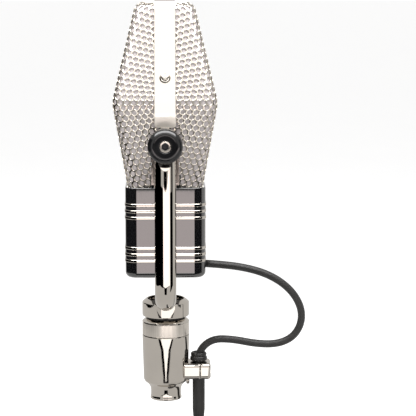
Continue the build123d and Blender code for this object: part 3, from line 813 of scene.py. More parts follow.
def smooth_line(points, resolution=6):
    """Points read along one NURBS spline that has the given control points."""
    curve = bpy.data.curves.new("cable route", "CURVE")
    curve.dimensions = "3D"
    spline = curve.splines.new("NURBS")
    spline.points.add(len(points) - 1)
    for control, point in zip(spline.points, points):
        control.co = (*point, 1)
    spline.order_u = 3
    spline.use_endpoint_u = True
    spline.resolution_u = resolution
    holder = bpy.data.objects.new("cable route", curve)
    bpy.context.scene.collection.objects.link(holder)
    bpy.context.view_layer.update()
    mesh = bpy.data.meshes.new_from_object(holder)
    line = [vertex.co.copy() for vertex in mesh.vertices]
    bpy.data.objects.remove(holder)
    bpy.data.meshes.remove(mesh)
    return line


def jacket(name, line, radius, sides=20):
    """A round tube along a line, with a UV map that runs round and along it."""
    tangents = [(after - before).normalized() for before, after in
                zip([line[0]] + line[:-1], line[1:] + [line[-1]])]
    across = tangents[0].orthogonal().normalized()
    vertices, faces, run, travelled = [], [], 0.0, []
    for index, (point, tangent) in enumerate(zip(line, tangents)):
        across = (across - tangent * across.dot(tangent)).normalized()
        other = tangent.cross(across)
        if index:
            run += (point - line[index - 1]).length
        travelled.append(run / (2 * math.pi * radius))
        for side in range(sides):
            angle = 2 * math.pi * side / sides
            vertices.append(point + radius * (math.cos(angle) * across + math.sin(angle) * other))
    for ring in range(len(line) - 1):
        for side in range(sides):
            first, second = ring * sides + side, ring * sides + (side + 1) % sides
            faces.append((first, second, second + sides, first + sides))
    faces.append(tuple(reversed(range(sides))))
    faces.append(tuple(range((len(line) - 1) * sides, len(line) * sides)))
    mesh = bpy.data.meshes.new(name)
    mesh.from_pydata([tuple(vertex) for vertex in vertices], [], faces)
    layer = mesh.uv_layers.new(name="UVMap")
    for polygon in mesh.polygons:
        ends = len(polygon.vertices) > 4
        wraps = polygon.index % sides == sides - 1
        for loop in polygon.loop_indices:
            vertex = mesh.loops[loop].vertex_index
            side = vertex % sides
            turn = 1.0 if wraps and side == 0 and not ends else side / sides
            layer.data[loop].uv = (turn, travelled[vertex // sides])
    piece = bpy.data.objects.new(name, mesh)
    bpy.context.scene.collection.objects.link(piece)
    return piece


class RIBBONMIC_OT_cable(bpy.types.Operator):
    """Lay the microphone's cable: loop, drop, tied coil and tail"""
    bl_idname = "ribbon_mic.cable"
    bl_label = "Cable"
    bl_options = {"REGISTER", "UNDO"}

    def execute(self, context):
        sizes = context.scene.ribbon_mic_sizes
        points = cable_points(sizes)
        line = smooth_line(points)
        cable = jacket("cable", line, sizes.cable_diameter / 2)
        only(cable)
        bpy.ops.object.shade_smooth()
        coat(cable, "jacket")
        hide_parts("cable_loop", "cable_drop", "cable_coil", "cable_tail")
        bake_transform(cable)
        for number, degrees in enumerate((50, -75), start=1):
            band = turned([(12.65, -8), (13.7, -8), (13.9, -7.4), (13.9, 7.4), (13.7, 8), (12.65, 8)],
                          72, closed=True)
            for vertex in band.data.vertices:
                if vertex.co.x > 0.004 and vertex.co.y > 0:
                    vertex.co *= 1 + 0.035 * min(1, (vertex.co.x - 0.004) / 0.002)
            angle = math.radians(degrees)
            reach = sizes.coil_radius
            aim(band, (reach * math.cos(angle), CABLE_AXIS.y, COIL_CENTRE_Z + reach * math.sin(angle)),
                (-math.sin(angle), 0, math.cos(angle)))
            hand_over(band, f"coil_tie_{number}", "mount_and_yoke",
                                  "strap")
        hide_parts("coil_straps")
        return {"FINISHED"}


class RIBBONMIC_OT_plug(bpy.types.Operator):
    """Make the three-pin plug on the end of the cable and the rubber boot in the clamp"""
    bl_idname = "ribbon_mic.plug"
    bl_label = "Plug and boot"
    bl_options = {"REGISTER", "UNDO"}

    def execute(self, context):
        def hang(piece, drop, across=(0, 0)):
            """Stand a part of the plug below the end of the cable."""
            x, y, z = PLUG_TOP
            return aim(piece, (x + across[0], y + across[1], z - drop), (0, 0, 1))

        ribs = []
        for index in range(5):
            low = 4.5 + 3.4 * index
            wide = 6.75 - 0.42 * index
            ribs += [(wide, low), (wide, low + 1.9), (wide - 0.7, low + 2.2), (wide - 0.75, low + 3.2)]
        sleeve = turned([(3.25, 0), (6.6, 0), (7.0, 0.5), (7.0, 4.2)] + ribs
                        + [(4.5, 22.5), (4.3, 23.8), (3.25, 24)], 64, closed=True)
        hang(sleeve, 0.024)
        hand_over(soften(sleeve, 0.2, 2), "plug_sleeve", "mount_and_yoke", "rubber",
                  ["plug_boot"])
        barrel = turned([(8.2, 0), (9.1, 0), (9.5, 0.5), (9.5, 6.0), (9.2, 6.3), (9.2, 7.4), (9.5, 7.7),
                         (9.5, 38), (9.0, 38.6), (9.0, 40.2), (9.5, 40.8), (9.5, 47.0), (8.9, 47.9),
                         (4.8, 47.9), (4.8, 46.5), (8.2, 46.5)], 96, closed=True)
        hang(barrel, 0.072)
        hand_over(soften(barrel, 0.15, 2), "plug_barrel", "mount_and_yoke",
                  "nickel", ["plug_shell"])
        core = turned([(0, 0), (7.9, 0), (8.1, 0.3), (8.1, 16), (0, 16)], 64)
        hang(core, 0.056)
        hand_over(soften(core, 0.2, 2), "plug_core", "mount_and_yoke", "dark",
                  ["plug_insert"])
        pins = []
        for degrees in (90, 210, 330):
            angle = math.radians(degrees)
            pin = turned([(0, 0), (0.7, 0), (1.2, 0.9), (1.2, 28), (0, 28)], 24)
            pins.append(hang(pin, 0.069, (0.0041 * math.cos(angle), 0.0041 * math.sin(angle))))
        hand_over(join(pins), "plug_contacts", "mount_and_yoke", "brass", ["plug_pins"])
        boot = turned([
            (3.25, -19), (4.2, -19), (4.6, -18.2), (5.3, -10), (5.3, 32.4), (6.0, 32.6), (6.9, 33.1),
            (7.25, 34.0), (7.25, 35.3), (6.9, 36.3), (6.3, 36.7), (6.1, 37.0), (6.6, 37.4), (6.85, 38.2),
            (6.6, 39.2), (5.9, 39.9), (4.9, 40.0), (4.2, 39.4), (3.25, 38.0)], 72, closed=True)
        boot.data.transform(Matrix.Translation(CABLE_AXIS))
        hand_over(boot, "clamp_boot", "mount_and_yoke", "rubber", ["cable_boot"], 70)
        return {"FINISHED"}


# ---- the stand mount and the yoke -----------------------------------------------------------

class RIBBONMIC_OT_mount(bpy.types.Operator):
    """Turn the cushioned stand mount: body, threaded insert, cap, rubber and collar"""
    bl_idname = "ribbon_mic.mount"
    bl_label = "Stand mount"
    bl_options = {"REGISTER", "UNDO"}

    def execute(self, context):
        body = turned([
            (10.95, 0), (12.9, 0), (13.4, 0.5), (13.4, 1.7), (13.1, 2.5), (12.95, 3.6), (12.9, 5.4),
            (12.95, 7.6), (13.15, 9.2), (13.7, 10.8), (14.5, 12.2), (15.7, 13.5), (17.1, 14.7),
            (18.1, 15.6), (18.5, 16.4), (18.55, 16.75), (18.8, 16.9), (18.95, 17.3), (19.0, 18.0),
            (19.25, 27), (19.75, 46), (20.0, 55.3), (19.8, 55.9), (17.0, 56), (17.0, 18.0), (10.95, 18.0)],
            128, closed=True)
        hand_over(body, "mount_body_shell", "mount_and_yoke", "nickel",
                  ["mount_body"], 50)
        thread, pitch = [], 0.94
        for turn in range(15):
            low = 0.3 + pitch * turn
            thread += [(8.2, low), (7.5, low + pitch / 2)]
        insert = turned([(10.9, 0), (10.9, 15), (8.2, 15)] + thread[::-1] + [(8.3, 0)], 64, closed=True)
        hand_over(insert, "stand_thread_insert", "mount_and_yoke", "brass",
                  ["thread_insert"], 25)
        ring = turned([
            (8.0, 50), (16.9, 50), (16.9, 56.1), (19.6, 56.1), (19.85, 56.4), (19.85, 66.6), (19.6, 66.9),
            (19.55, 67.1), (20.0, 67.3), (19.95, 67.7), (17.3, 69.9), (16.9, 70.0), (8.0, 70.0)],
            128, closed=True)
        settle(ring)
        coat(ring, "nickel", "cap_nickel")
        for face in ring.data.polygons:
            height, out = face.center.z / MM, math.hypot(face.center.x, face.center.y) / MM
            face.material_index = int(56.3 < height < 66.7 and out > 19)
        hand_over(ring, "mount_cap_ring", "mount_and_yoke", None, ["mount_cap"], 40)
        pad = turned([(5.3, 70.05), (15.9, 70.05), (16.6, 70.4), (16.8, 71.0), (16.6, 71.6), (15.9, 71.95),
                      (5.3, 71.95)], 96, closed=True)
        hand_over(pad, "neck_rubber", "mount_and_yoke", "rubber", ["neck_cushion"], 60)
        collar = turned([
            (3.1, 72), (18.6, 72), (19.6, 72.5), (19.9, 73.4), (19.9, 83.6), (19.7, 84.3), (16.9, 86.6),
            (16.2, 87.0), (15.6, 86.9), (15.2, 86.3), (14.9, 83.5), (3.1, 83.4)], 128, closed=True)
        hand_over(collar, "yoke_collar_ring", "mount_and_yoke", "nickel",
                  ["yoke_collar"], 35)
        felt = turned([(8.5, 83.3), (14.85, 83.3), (14.85, 84.2), (8.5, 84.2)], 96, closed=True)
        hand_over(soften(felt, 0.2, 2), "collar_felt", "mount_and_yoke", "dark")
        lock = turned([(0, 0), (2.2, 0), (3.0, 0.4), (3.0, 2.2), (2.5, 2.8), (0, 2.8)], 48)
        aim(lock, (0, 0.0173, 0.015), (0, 1, 0))
        slit = block((-0.4, 0.4), (19.4, 21), (11, 19))
        hand_over(soften(cut_away(lock, slit), 0.12, 2), "stand_lock_screw_head", "mount_and_yoke",
                  "screw_nickel", ["stand_lock_screw"])
        return {"FINISHED"}


class RIBBONMIC_OT_yoke(bpy.types.Operator):
    """Bend the tubular yoke and mill the flats at its ends"""
    bl_idname = "ribbon_mic.yoke"
    bl_label = "Yoke"
    bl_options = {"REGISTER", "UNDO"}

    def execute(self, context):
        stations = []

        def station(x, z, direction, radius=ARM_R):
            stations.append((Vector((x, 0, z)) * MM, Vector(direction), radius * MM))

        for degrees in (89.9, 84, 76, 68, 58, 48, 38, 28, 19, 10):
            angle = math.radians(degrees)
            station(ARM_X, PIVOT + ARM_R * math.sin(angle), (0, 0, -1), ARM_R * math.cos(angle))
        bend, cross = 17.0, 94.0
        for part in range(13):
            station(ARM_X, PIVOT - (PIVOT - cross - bend) * part / 12, (0, 0, -1))
        for part in range(1, 21):
            angle = math.radians(90 * part / 20)
            station(ARM_X - bend + bend * math.cos(angle), cross + bend - bend * math.sin(angle),
                    (-math.sin(angle), 0, -math.cos(angle)))
        for x in (24.0, 12.0, 0.0):
            station(x, cross, (-1, 0, 0))
        for centre, direction, radius in list(reversed(stations[:-1])):
            mirrored = Vector((-centre.x, 0, centre.z))
            stations.append((mirrored, Vector((direction.x, 0, -direction.z)), radius))
        tube = drawn(stations, 96)
        cutters = []
        deep = ARM_R - 1.9
        knee_z = PIVOT - 14.8
        for side in (-1, 1):
            for face in (-1, 1):
                outline = [(deep, PIVOT + 20), (deep, knee_z), (ARM_R, knee_z - 5.6),
                           (ARM_R + 5, knee_z - 5.6), (ARM_R + 5, PIVOT + 20)]
                cutters.append(prism([(side * ARM_X + face * x, z) for x, z in outline], -12, 12))
        tube = cut_away(tube, join(cutters))
        soften(tube, 0.25, 2, 14)
        hand_over(tube, "yoke_tube", "mount_and_yoke", "nickel", ["yoke"], 20)
        return {"FINISHED"}


class RIBBONMIC_OT_clamp(bpy.types.Operator):
    """Make the two polished jaws that hold the cable's boot, with their screws"""
    bl_idname = "ribbon_mic.clamp"
    bl_label = "Cable clamp"
    bl_options = {"REGISTER", "UNDO"}

    def execute(self, context):
        inner = block((-12, 12), (15.2, 28.95), (18, 32))
        round_edges(inner, along(1), 3.4, 6)
        soften(inner, 0.9, 4, 40)
        hand_over(inner, "clamp_jaw_near", "mount_and_yoke", "nickel",
                  ["clamp_jaw_inner"], 30)
        outer = block((-12, 12), (29.25, 38.1), (18, 32))
        round_edges(outer, along(1), 3.4, 6)
        round_edges(outer, lambda edge: min(v.co.y for v in edge.verts) > 38.0 * MM, 2.4, 6)
        soften(outer, 0.7, 4, 40)
        for x in (-8.6, 8.6):
            hole = turned([(0, 0), (2.95, 0), (2.95, 6), (0, 6)], 48)
            aim(hole, (x * MM, 0.0352, 0.025), (0, 1, 0))
            cut_away(outer, hole)
        hand_over(outer, "clamp_jaw_far", "mount_and_yoke", "nickel",
                  ["clamp_jaw_outer"], 30)
        screws = []
        for x in (-8.6, 8.6):
            screw = turned([(0, -19), (1.6, -19), (1.6, 0), (2.6, 0), (2.8, 0.3), (2.8, 1.6), (2.3, 2.2),
                            (1.2, 2.45), (0, 2.5)], 48)
            aim(screw, (x * MM, 0.0352, 0.025), (0, 1, 0))
            slit = block((x - 0.45, x + 0.45), (36.4, 39), (20, 30))
            screws.append(cut_away(screw, slit))
        hand_over(soften(join(screws), 0.1, 2), "clamp_screw_pair", "mount_and_yoke",
                  "screw_nickel", ["clamp_screws"])
        return {"FINISHED"}


# ---- knobs and pivots -------------------------------------------------------------------------

class RIBBONMIC_OT_knobs(bpy.types.Operator):
    """Turn the two clamping knobs and their socket-head pivot screws"""
    bl_idname = "ribbon_mic.knobs"
    bl_label = "Knobs"
    bl_options = {"REGISTER", "UNDO"}

    def execute(self, context):
        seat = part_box("knob_right")[0].x
        profile = [(3.1, 0), (13.4, 0), (13.9, 0.2), (14.2, 0.8), (14.2, 6.0)]
        for degrees in range(10, 91, 8):
            angle = math.radians(degrees)
            profile.append((9.6 + 4.6 * math.cos(angle), 6.0 + 4.6 * math.sin(angle)))
        profile += [(9.3, 10.6), (8.9, 10.52), (5.5, 10.5), (5.2, 10.42), (5.05, 10.2),
                    (5.0, 5.0), (3.1, 5.0)]
        knob = turned(profile, 128, closed=True)
        head = turned([(0, -22), (2.6, -22), (3.0, -21.5), (3.0, 5.05), (4.6, 5.05), (4.85, 5.3),
                       (4.85, 9.6), (4.5, 10.0), (4.2, 10.05), (3.4, 9.85), (0, 9.8)], 64)
        socket = turned([(0, 5.6), (3.3, 5.6), (3.3, 12), (0, 12)], 6)
        soften(cut_away(head, socket), 0.12, 2)
        coat(head, "screw_nickel", "blackened")
        for face in head.data.polygons:
            face.material_index = int(face.center.xy.length < 3.1 * MM and face.center.z > 5.4 * MM
                                      and face.center.z < 9.7 * MM)
        aim(knob, (seat, 0, PIVOT * MM), (1, 0, 0))
        aim(head, (seat, 0, PIVOT * MM), (1, 0, 0))
        for side, body, place in (("right", "right_knob", Matrix.Identity(4)),
                                  ("left", "left_knob", MIRROR_X)):
            one = duplicate(knob, place)
            two = duplicate(head, place)
            hand_over(one, f"knob_{side}_turned", body, "knob",
                      [f"knob_{side}"], 50)
            hand_over(two, f"pivot_screw_{side}", body, None, [f"knob_screw_{side}"], 30)
        bpy.data.objects.remove(knob)
        bpy.data.objects.remove(head)
        return {"FINISHED"}


# ---- the lower case ---------------------------------------------------------------------------

def case_outline(grow, corner, low, high):
    """A rounded upright box round the case's plan, closed top and bottom."""
    half_x, half_y = 50.0 + grow, 32.95 + grow
    box = block((-half_x, half_x), (-half_y, half_y), (low, high))
    return round_edges(box, along(2), corner, 14)


class RIBBONMIC_OT_case(bpy.types.Operator):
    """Form the lacquered lower case, its six trim rings and the cable's gland"""
    bl_idname = "ribbon_mic.case"
    bl_label = "Lower case"
    bl_options = {"REGISTER", "UNDO"}

    def execute(self, context):
        low, high = CASE_LOW.z / MM, CASE_HIGH.z / MM
        case = case_outline(0.0, 9.5, low, high)
        round_edges(case, lambda edge: max(v.co.z for v in edge.verts) < (low + 0.1) * MM, 4.6, 10)
        drop_faces(case, lambda face: face.normal.z > 0.9)
        apply_modifier(case, "SOLIDIFY", thickness=2.5 * MM, offset=-1.0, use_even_offset=True)
        soften(case, 0.5, 3, 60)
        exit_hole = turned([(0, 0), (5.05, 0), (5.05, 9), (0, 9)], 64)
        aim(exit_hole, GLAND_SEAT, (0, 1, 0))
        cut_away(case, exit_hole)
        hand_over(case, "lower_case_shell", "head", "lacquer",
                  ["lower_case"], 30)
        model = case_outline(0.5, 10.0, -1.25, 1.25)
        drop_faces(model, lambda face: abs(face.normal.z) > 0.9)
        apply_modifier(model, "SOLIDIFY", thickness=1.2 * MM, offset=-1.0, use_even_offset=True)
        soften(model, 0.55, 3, 60)
        for number in range(1, 7):
            node = f"trim_ring_{number}"
            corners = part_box(node)
            ring = duplicate(model, Matrix.Translation((0, 0, (corners[0].z + corners[1].z) / 2)))
            hand_over(ring, f"trim_band_{number}", "head",
                      "ring_nickel", [node], 50)
        bpy.data.objects.remove(model)
        gland = turned([(3.25, 0), (6.9, 0), (6.9, 3.2), (4.95, 3.4), (4.95, 6.0), (4.5, 6.5), (3.9, 6.5),
                        (3.25, 6.0)], 64, closed=True)
        aim(gland, GLAND_SEAT, (0, 1, 0))
        floor = block((0, 24), (20, 40), (105, low + 3.05))
        hand_over(cut_away(gland, floor), "cable_gland_ring", "head", "rubber",
                  ["cable_gland"], 50)
        return {"FINISHED"}


# ---- the perforated grille and its liner --------------------------------------------------------

def perforated_sheet(sizes):
    """A flat sheet of holes in staggered rows: one cell modelled, then repeated."""
    pitch, hole = sizes.hole_pitch, sizes.hole_size / 2
    row = pitch * math.sqrt(3) / 2
    clear_selection()
    bpy.ops.mesh.primitive_circle_add(vertices=12, radius=hole * MM, fill_type="NOTHING",
                                      location=(0, 0, 0))
    cell = bpy.context.object
    open_piece(cell)
    radius = hole
    for next_radius in (hole + 0.06, pitch / 2):
        bpy.ops.mesh.extrude_region_move(TRANSFORM_OT_translate={"value": (0, 0, 0)})
        factor = next_radius / radius
        bpy.ops.transform.resize(value=(factor, factor, 1), center_override=(0, 0, 0))
        radius = next_radius
    close_piece()
    for vertex in cell.data.vertices:
        out = vertex.co.xy.length / MM
        if out < hole + 0.03:
            vertex.co.z = -0.34 * MM
        elif out < pitch / 2 - 0.02:
            vertex.co.z = -0.015 * MM
        else:
            angle = math.atan2(vertex.co.y, vertex.co.x) % (math.pi / 3)
            corner = abs(angle - math.pi / 6) < 0.1
            if corner:
                vertex.co.xy = vertex.co.xy.normalized() * pitch / math.sqrt(3) * MM
    second = duplicate(cell, Matrix.Translation((pitch / 2 * MM, row * MM, 0)))
    pair = join([cell, second])
    columns, rows = 38, 20
    apply_modifier(pair, "ARRAY", count=columns, use_relative_offset=False, use_constant_offset=True,
                   constant_offset_displace=(pitch * MM, 0, 0))
    apply_modifier(pair, "ARRAY", count=rows, use_relative_offset=False, use_constant_offset=True,
                   constant_offset_displace=(0, 2 * row * MM, 0))
    weld(pair, 2e-5)
    pair.data.transform(Matrix.Translation((-(columns - 1) * pitch / 2 * MM, -3.0 * MM, 0)))
    return pair


def press(sheet, sizes):
    """Move the flat sheet's points to the head's form."""
    count = len(sheet.data.vertices)
    flat = np.empty(count * 3)
    sheet.data.vertices.foreach_get("co", flat)
    flat = flat.reshape(-1, 3) / MM
    x, y, z = lattice_to_head(flat[:, 0], flat[:, 1], -flat[:, 2], sizes.gather, sizes.lean)
    sheet.data.vertices.foreach_set("co", np.stack([x, y, z], 1).astype(np.float32).ravel() * MM)
    sheet.data.update()


def trim(piece, point, normal, test=None):
    """Cut the piece along a plane and drop what lies on the normal's side; with a test, the cut
    stays inside the faces that pass it."""
    open_piece(piece, "DESELECT")
    pick(piece, "FACE", test or (lambda face: True))
    bpy.ops.mesh.bisect(plane_co=Vector(point) * MM, plane_no=normal, clear_outer=test is None,
                        clear_inner=False)
    close_piece()


SLOT = 11.5          # half width of the pivot channel's opening
SIDE_FROM = 44       # side faces lie farther out than this


def in_slot(y, z, margin=0.0):
    """Whether a point of a side face lies in the pivot channel's opening."""
    reach = SLOT - margin
    if z < PIVOT:
        return abs(y) < reach
    return math.hypot(y, z - PIVOT) < reach / math.cos(math.radians(15)) and all(
        abs(y) * math.cos(a) + (z - PIVOT) * math.sin(a) < reach
        for a in (0, math.radians(30), math.radians(60), math.radians(90)))


def open_slots(piece, margin=0.0):
    """Drop the side faces that lie in the pivot channels' openings."""
    def inside(face):
        centre = face.calc_center_median()
        return abs(centre.x) > SIDE_FROM * MM and in_slot(centre.y / MM, centre.z / MM, margin)

    drop_faces(piece, inside)


def cut_slots(piece):
    """Cut the pivot channels' openings clean out of the side faces."""
    def near(face):
        centre = face.calc_center_median() / MM
        return abs(centre.x) > SIDE_FROM and centre.z < PIVOT + 16 and abs(centre.y) < 17

    for degrees in (0, 30, 60, 90, 120, 150, 180):
        angle = math.radians(degrees)
        trim(piece, (0, -SLOT * math.cos(angle), PIVOT + SLOT * math.sin(angle)),
             (0, -math.cos(angle), math.sin(angle)), near)
    open_slots(piece)


class RIBBONMIC_OT_grille(bpy.types.Operator):
    """Press the perforated front and rear grilles and line them with cloth"""
    bl_idname = "ribbon_mic.grille"
    bl_label = "Grille"
    bl_options = {"REGISTER", "UNDO"}

    def execute(self, context):
        sizes = context.scene.ribbon_mic_sizes
        front = perforated_sheet(sizes)
        press(front, sizes)
        trim(front, (0, 0, HEAD_Z[0]), (0, 0, -1))
        trim(front, (0, -0.1, 0), (0, 1, 0))
        top_z = (HEAD_Z[2] - 0.6) * MM

        def loose(face):
            centre = face.calc_center_median()
            flat = centre.z > top_z and abs(centre.x) > 28.9 * MM
            return face.calc_area() < 2e-10 or (flat and abs(face.normal.z) > 0.97)

        drop_faces(front, loose)
        weld(front, 4e-5)
        cut_slots(front)
        even_normals(front)
        middle = min(front.data.polygons, key=lambda face: face.center.y)
        if middle.normal.y > 0:
            front.data.flip_normals()
        apply_modifier(front, "SOLIDIFY", thickness=sizes.sheet_wall, offset=-1.0)
        rear = duplicate(front, Matrix.Rotation(math.pi, 4, "Z"))
        for piece, name in ((front, "front"), (rear, "rear")):
            hand_over(piece, f"perforated_{name}", "head", "grille_nickel",
                      [f"grille_{name}"], 75, weighted=False)
        rim = case_like_ring((30.6, 19.4), (27.9, 16.7), 4.0, HEAD_Z[2] - 0.75, HEAD_Z[2] + 0.06)
        hand_over(soften(rim, 0.2, 2), "crown_rim", "head", "grille_nickel")
        liner = self.liner()
        hand_over(liner, "cloth_liner", "head", "liner", ["grille_liner"], 60,
                  weighted=False)
        return {"FINISHED"}

    def liner(self, inset=1.35, around=192):
        """A closed sleeve of cloth just inside the grille: a circle extruded up the form."""
        runs = list(np.linspace(0.6, CROWN_START, 46)) + list(
            np.linspace(CROWN_START, CROWN_START + CROWN_RUN, 6)[1:])
        level_gap = 0.001
        clear_selection()
        bpy.ops.mesh.primitive_circle_add(vertices=around, radius=0.03, fill_type="NOTHING")
        sleeve = bpy.context.object
        open_piece(sleeve)
        for _ in runs:
            bpy.ops.mesh.extrude_region_move(TRANSFORM_OT_translate={"value": (0, 0, level_gap)})
        bpy.ops.mesh.merge(type="CENTER")
        close_piece()
        for vertex in sleeve.data.vertices:
            level = round(vertex.co.z / level_gap)
            if level >= len(runs):
                vertex.co = (0, 0, (HEAD_Z[2] - inset) * MM)
                continue
            run = np.array([float(runs[level])])
            half_x, half_y, corner, _, _ = head_section(run, inset)
            length = float((half_x + half_y - 2 * corner + corner * math.pi / 2)[0])
            turn = math.atan2(vertex.co.x, -vertex.co.y)
            front = abs(turn) <= math.pi / 2
            share = abs(turn) / (math.pi / 2) if front else 2 - abs(turn) / (math.pi / 2)
            x, y, z = (float(value[0]) for value in head_point(np.array([share * length]), run, inset))
            vertex.co = (math.copysign(x, turn) * MM, (y if front else -y) * MM, z * MM)
        even_normals(sleeve)
        open_slots(sleeve, -0.6)
        return apply_modifier(sleeve, "SOLIDIFY", thickness=0.3 * MM, offset=-1.0)


def case_like_ring(outer, inner, corner, low, high):
    """A flat rounded frame between two plans, given as half sizes."""
    frame_piece = block((-outer[0], outer[0]), (-outer[1], outer[1]), (low, high))
    round_edges(frame_piece, along(2), corner, 8)
    hole = block((-inner[0], inner[0]), (-inner[1], inner[1]), (low - 2, high + 2))
    round_edges(hole, along(2), corner - 1.5, 8)
    return cut_away(frame_piece, hole)


# ---- band over the head -----------------------------------------------------------------------

def head_side(height):
    """Half width of the grille's side at a height, in millimetres."""
    return float(np.interp(height, HEAD_Z, HEAD_X))


class RIBBONMIC_OT_band(bpy.types.Operator):
    """Bend the polished band over the head and fix it with its screws and cup washers"""
    bl_idname = "ribbon_mic.band"
    bl_label = "Head band"
    bl_options = {"REGISTER", "UNDO"}

    def execute(self, context):
        lift, end, top = 0.12, 237.6, HEAD_Z[2]
        right = [(head_side(end) + lift, end), (HEAD_X[1] + lift, HEAD_Z[1])]
        right += [(HEAD_X[2] + out, top + up) for out, up in ((1.15, -3.2), (0.42, -0.75), (-0.05, -0.1),
                                                              (-0.9, 0.12))]
        path = right + [(0.0, top + 0.12)] + [(-x, z) for x, z in reversed(right)]
        clear_selection()
        bpy.ops.mesh.primitive_plane_add(size=0.01)
        band = bpy.context.object
        half = 17.3 / 2
        for vertex in band.data.vertices:
            x, z = path[0] if vertex.co.x < 0 else path[1]
            vertex.co = (x * MM, math.copysign(half, vertex.co.y) * MM, z * MM)
        open_piece(band, "DESELECT")
        pick(band, "EDGE", lambda edge: all(abs(v.co.z - path[1][1] * MM) < 1e-6 for v in edge.verts))
        for before, after in zip(path[1:], path[2:]):
            bpy.ops.mesh.extrude_region_move(TRANSFORM_OT_translate={
                "value": ((after[0] - before[0]) * MM, 0, (after[1] - before[1]) * MM)})
        pick(band, "VERT", lambda vertex: vertex.co.z < (end + 0.05) * MM)
        bpy.ops.mesh.bevel(offset=2.4 * MM, segments=6, affect="VERTICES")
        close_piece()
        even_normals(band)
        top_face = max(band.data.polygons, key=lambda face: face.center.z)
        if top_face.normal.z < 0:
            band.data.flip_normals()
        apply_modifier(band, "SOLIDIFY", thickness=1.38 * MM, offset=1.0, use_even_offset=True)
        soften(band, 0.25, 2, 50)
        hand_over(band, "head_band", "head", "band_nickel", ["top_band"], 20)

        normal = Vector((math.cos(SIDE_SLOPE), 0, math.sin(SIDE_SLOPE)))
        screw_z = 277.0
        spot = Vector((head_side(screw_z), 0, screw_z)) * MM
        cup = turned([(1.7, 1.42), (4.4, 1.42), (4.5, 1.6), (4.35, 2.0), (3.7, 2.75), (3.3, 2.95),
                      (2.9, 2.85), (2.4, 2.3), (1.7, 2.0)], 72, closed=True)
        screw = turned([(0, -8), (1.5, -8), (1.5, 1.95), (2.75, 3.0), (2.7, 3.3), (2.2, 3.75), (1.3, 4.0),
                        (0, 4.1)], 64)
        for wide, deep in ((3.6, 0.75), (0.75, 3.6)):
            slit = block((-wide / 2, wide / 2), (-deep / 2, deep / 2), (3.1, 6))
            cut_away(screw, slit)
        soften(screw, 0.1, 2, 40)
        for piece in (cup, screw):
            aim(piece, spot, normal)
        cups = join([cup, duplicate(cup, MIRROR_X)])
        hand_over(cups, "band_cup_washers", "head", "screw_nickel",
                  ["cup_washers"], 40)
        screws = join([screw, duplicate(screw, MIRROR_X)])
        hand_over(screws, "band_screw_pair", "head", "screw_nickel",
                  ["band_screws"], 35)
        return {"FINISHED"}


# ---- parts carried over from the frame -------------------------------------------------------

CARRIED = {
    "centre_stud": "steel", "stud_nut": "steel", "lower_cushion": "rubber", "upper_cushion": "rubber",
    "yoke_bushings": "brass", "deck_posts": "steel", "case_screws": "blackened", "top_deck": "steel",
    "transformer_core": "core", "transformer_winding": "winding", "terminal_board": "board",
    "side_channel_right": "channel_nickel", "side_channel_left": "channel_nickel",
    "side_rails": "steel", "pivot_bosses": "steel", "friction_washers": "fibre", "top_plate": "steel",
    "horseshoe_magnet": "magnet", "pole_piece_right": "pole", "pole_piece_left": "pole",
    "ribbon": "foil", "ribbon_clamps": "brass",
}


class RIBBONMIC_OT_inner_parts(bpy.types.Operator):
    """Give the motor, the transformer and the other inner parts their finishes"""
    bl_idname = "ribbon_mic.inner_parts"
    bl_label = "Inner parts"
    bl_options = {"REGISTER", "UNDO"}

    def execute(self, context):
        for name, finish in CARRIED.items():
            coat(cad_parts[name], finish)
        return {"FINISHED"}


# ---- the stage --------------------------------------------------------------------------------

WALL_X = 1.4
WARM_WHITE = (1.0, 0.985, 0.96)
LOW_PANEL_LEVEL = 1.9
FLOOR_GLOW = 0.80
BACKDROP_LEVEL = 1.05


def glow(name, colour, strength):
    """A plain light-giving or light-stopping card."""
    material = bpy.data.materials.new(name)
    material.use_nodes = True
    tree = material.node_tree
    tree.nodes.clear()
    output = tree.nodes.new("ShaderNodeOutputMaterial")
    emission = tree.nodes.new("ShaderNodeEmission")
    emission.inputs["Color"].default_value = (*colour, 1)
    emission.inputs["Strength"].default_value = strength
    tree.links.new(emission.outputs[0], output.inputs["Surface"])
    return material


def card(name, corners, colour=(0, 0, 0), strength=0):
    """A flat card on the stage, seen in the polish and not by the camera."""
    clear_selection()
    bpy.ops.mesh.primitive_circle_add(vertices=len(corners), radius=1, fill_type="NGON")
    piece = bpy.context.object
    piece.name = name
    for vertex, corner in zip(piece.data.vertices, corners):
        vertex.co = corner
    piece.data.materials.append(glow(name, colour, strength))
    piece.visible_camera = False
    piece.visible_shadow = False
    piece.visible_diffuse = False
    return piece


def wall_card(name, outline, *light):
    """A card on the wall in front of the microphone, given as (y, z) pairs."""
    return card(name, [(WALL_X, y, z) for y, z in outline], *light)


def soft_box(name, location, target, size, power, colour=(1, 1, 1)):
    light = bpy.data.lights.new(name, "AREA")
    light.shape, light.size, light.size_y = "RECTANGLE", size[0], size[1]
    light.energy, light.color = power, colour
    box = bpy.data.objects.new(name, light)
    bpy.context.scene.collection.objects.link(box)
    box.location = location
    box.rotation_euler = (Vector(target) - Vector(location)).to_track_quat("-Z", "Y").to_euler()
    box.visible_camera = False
    return box


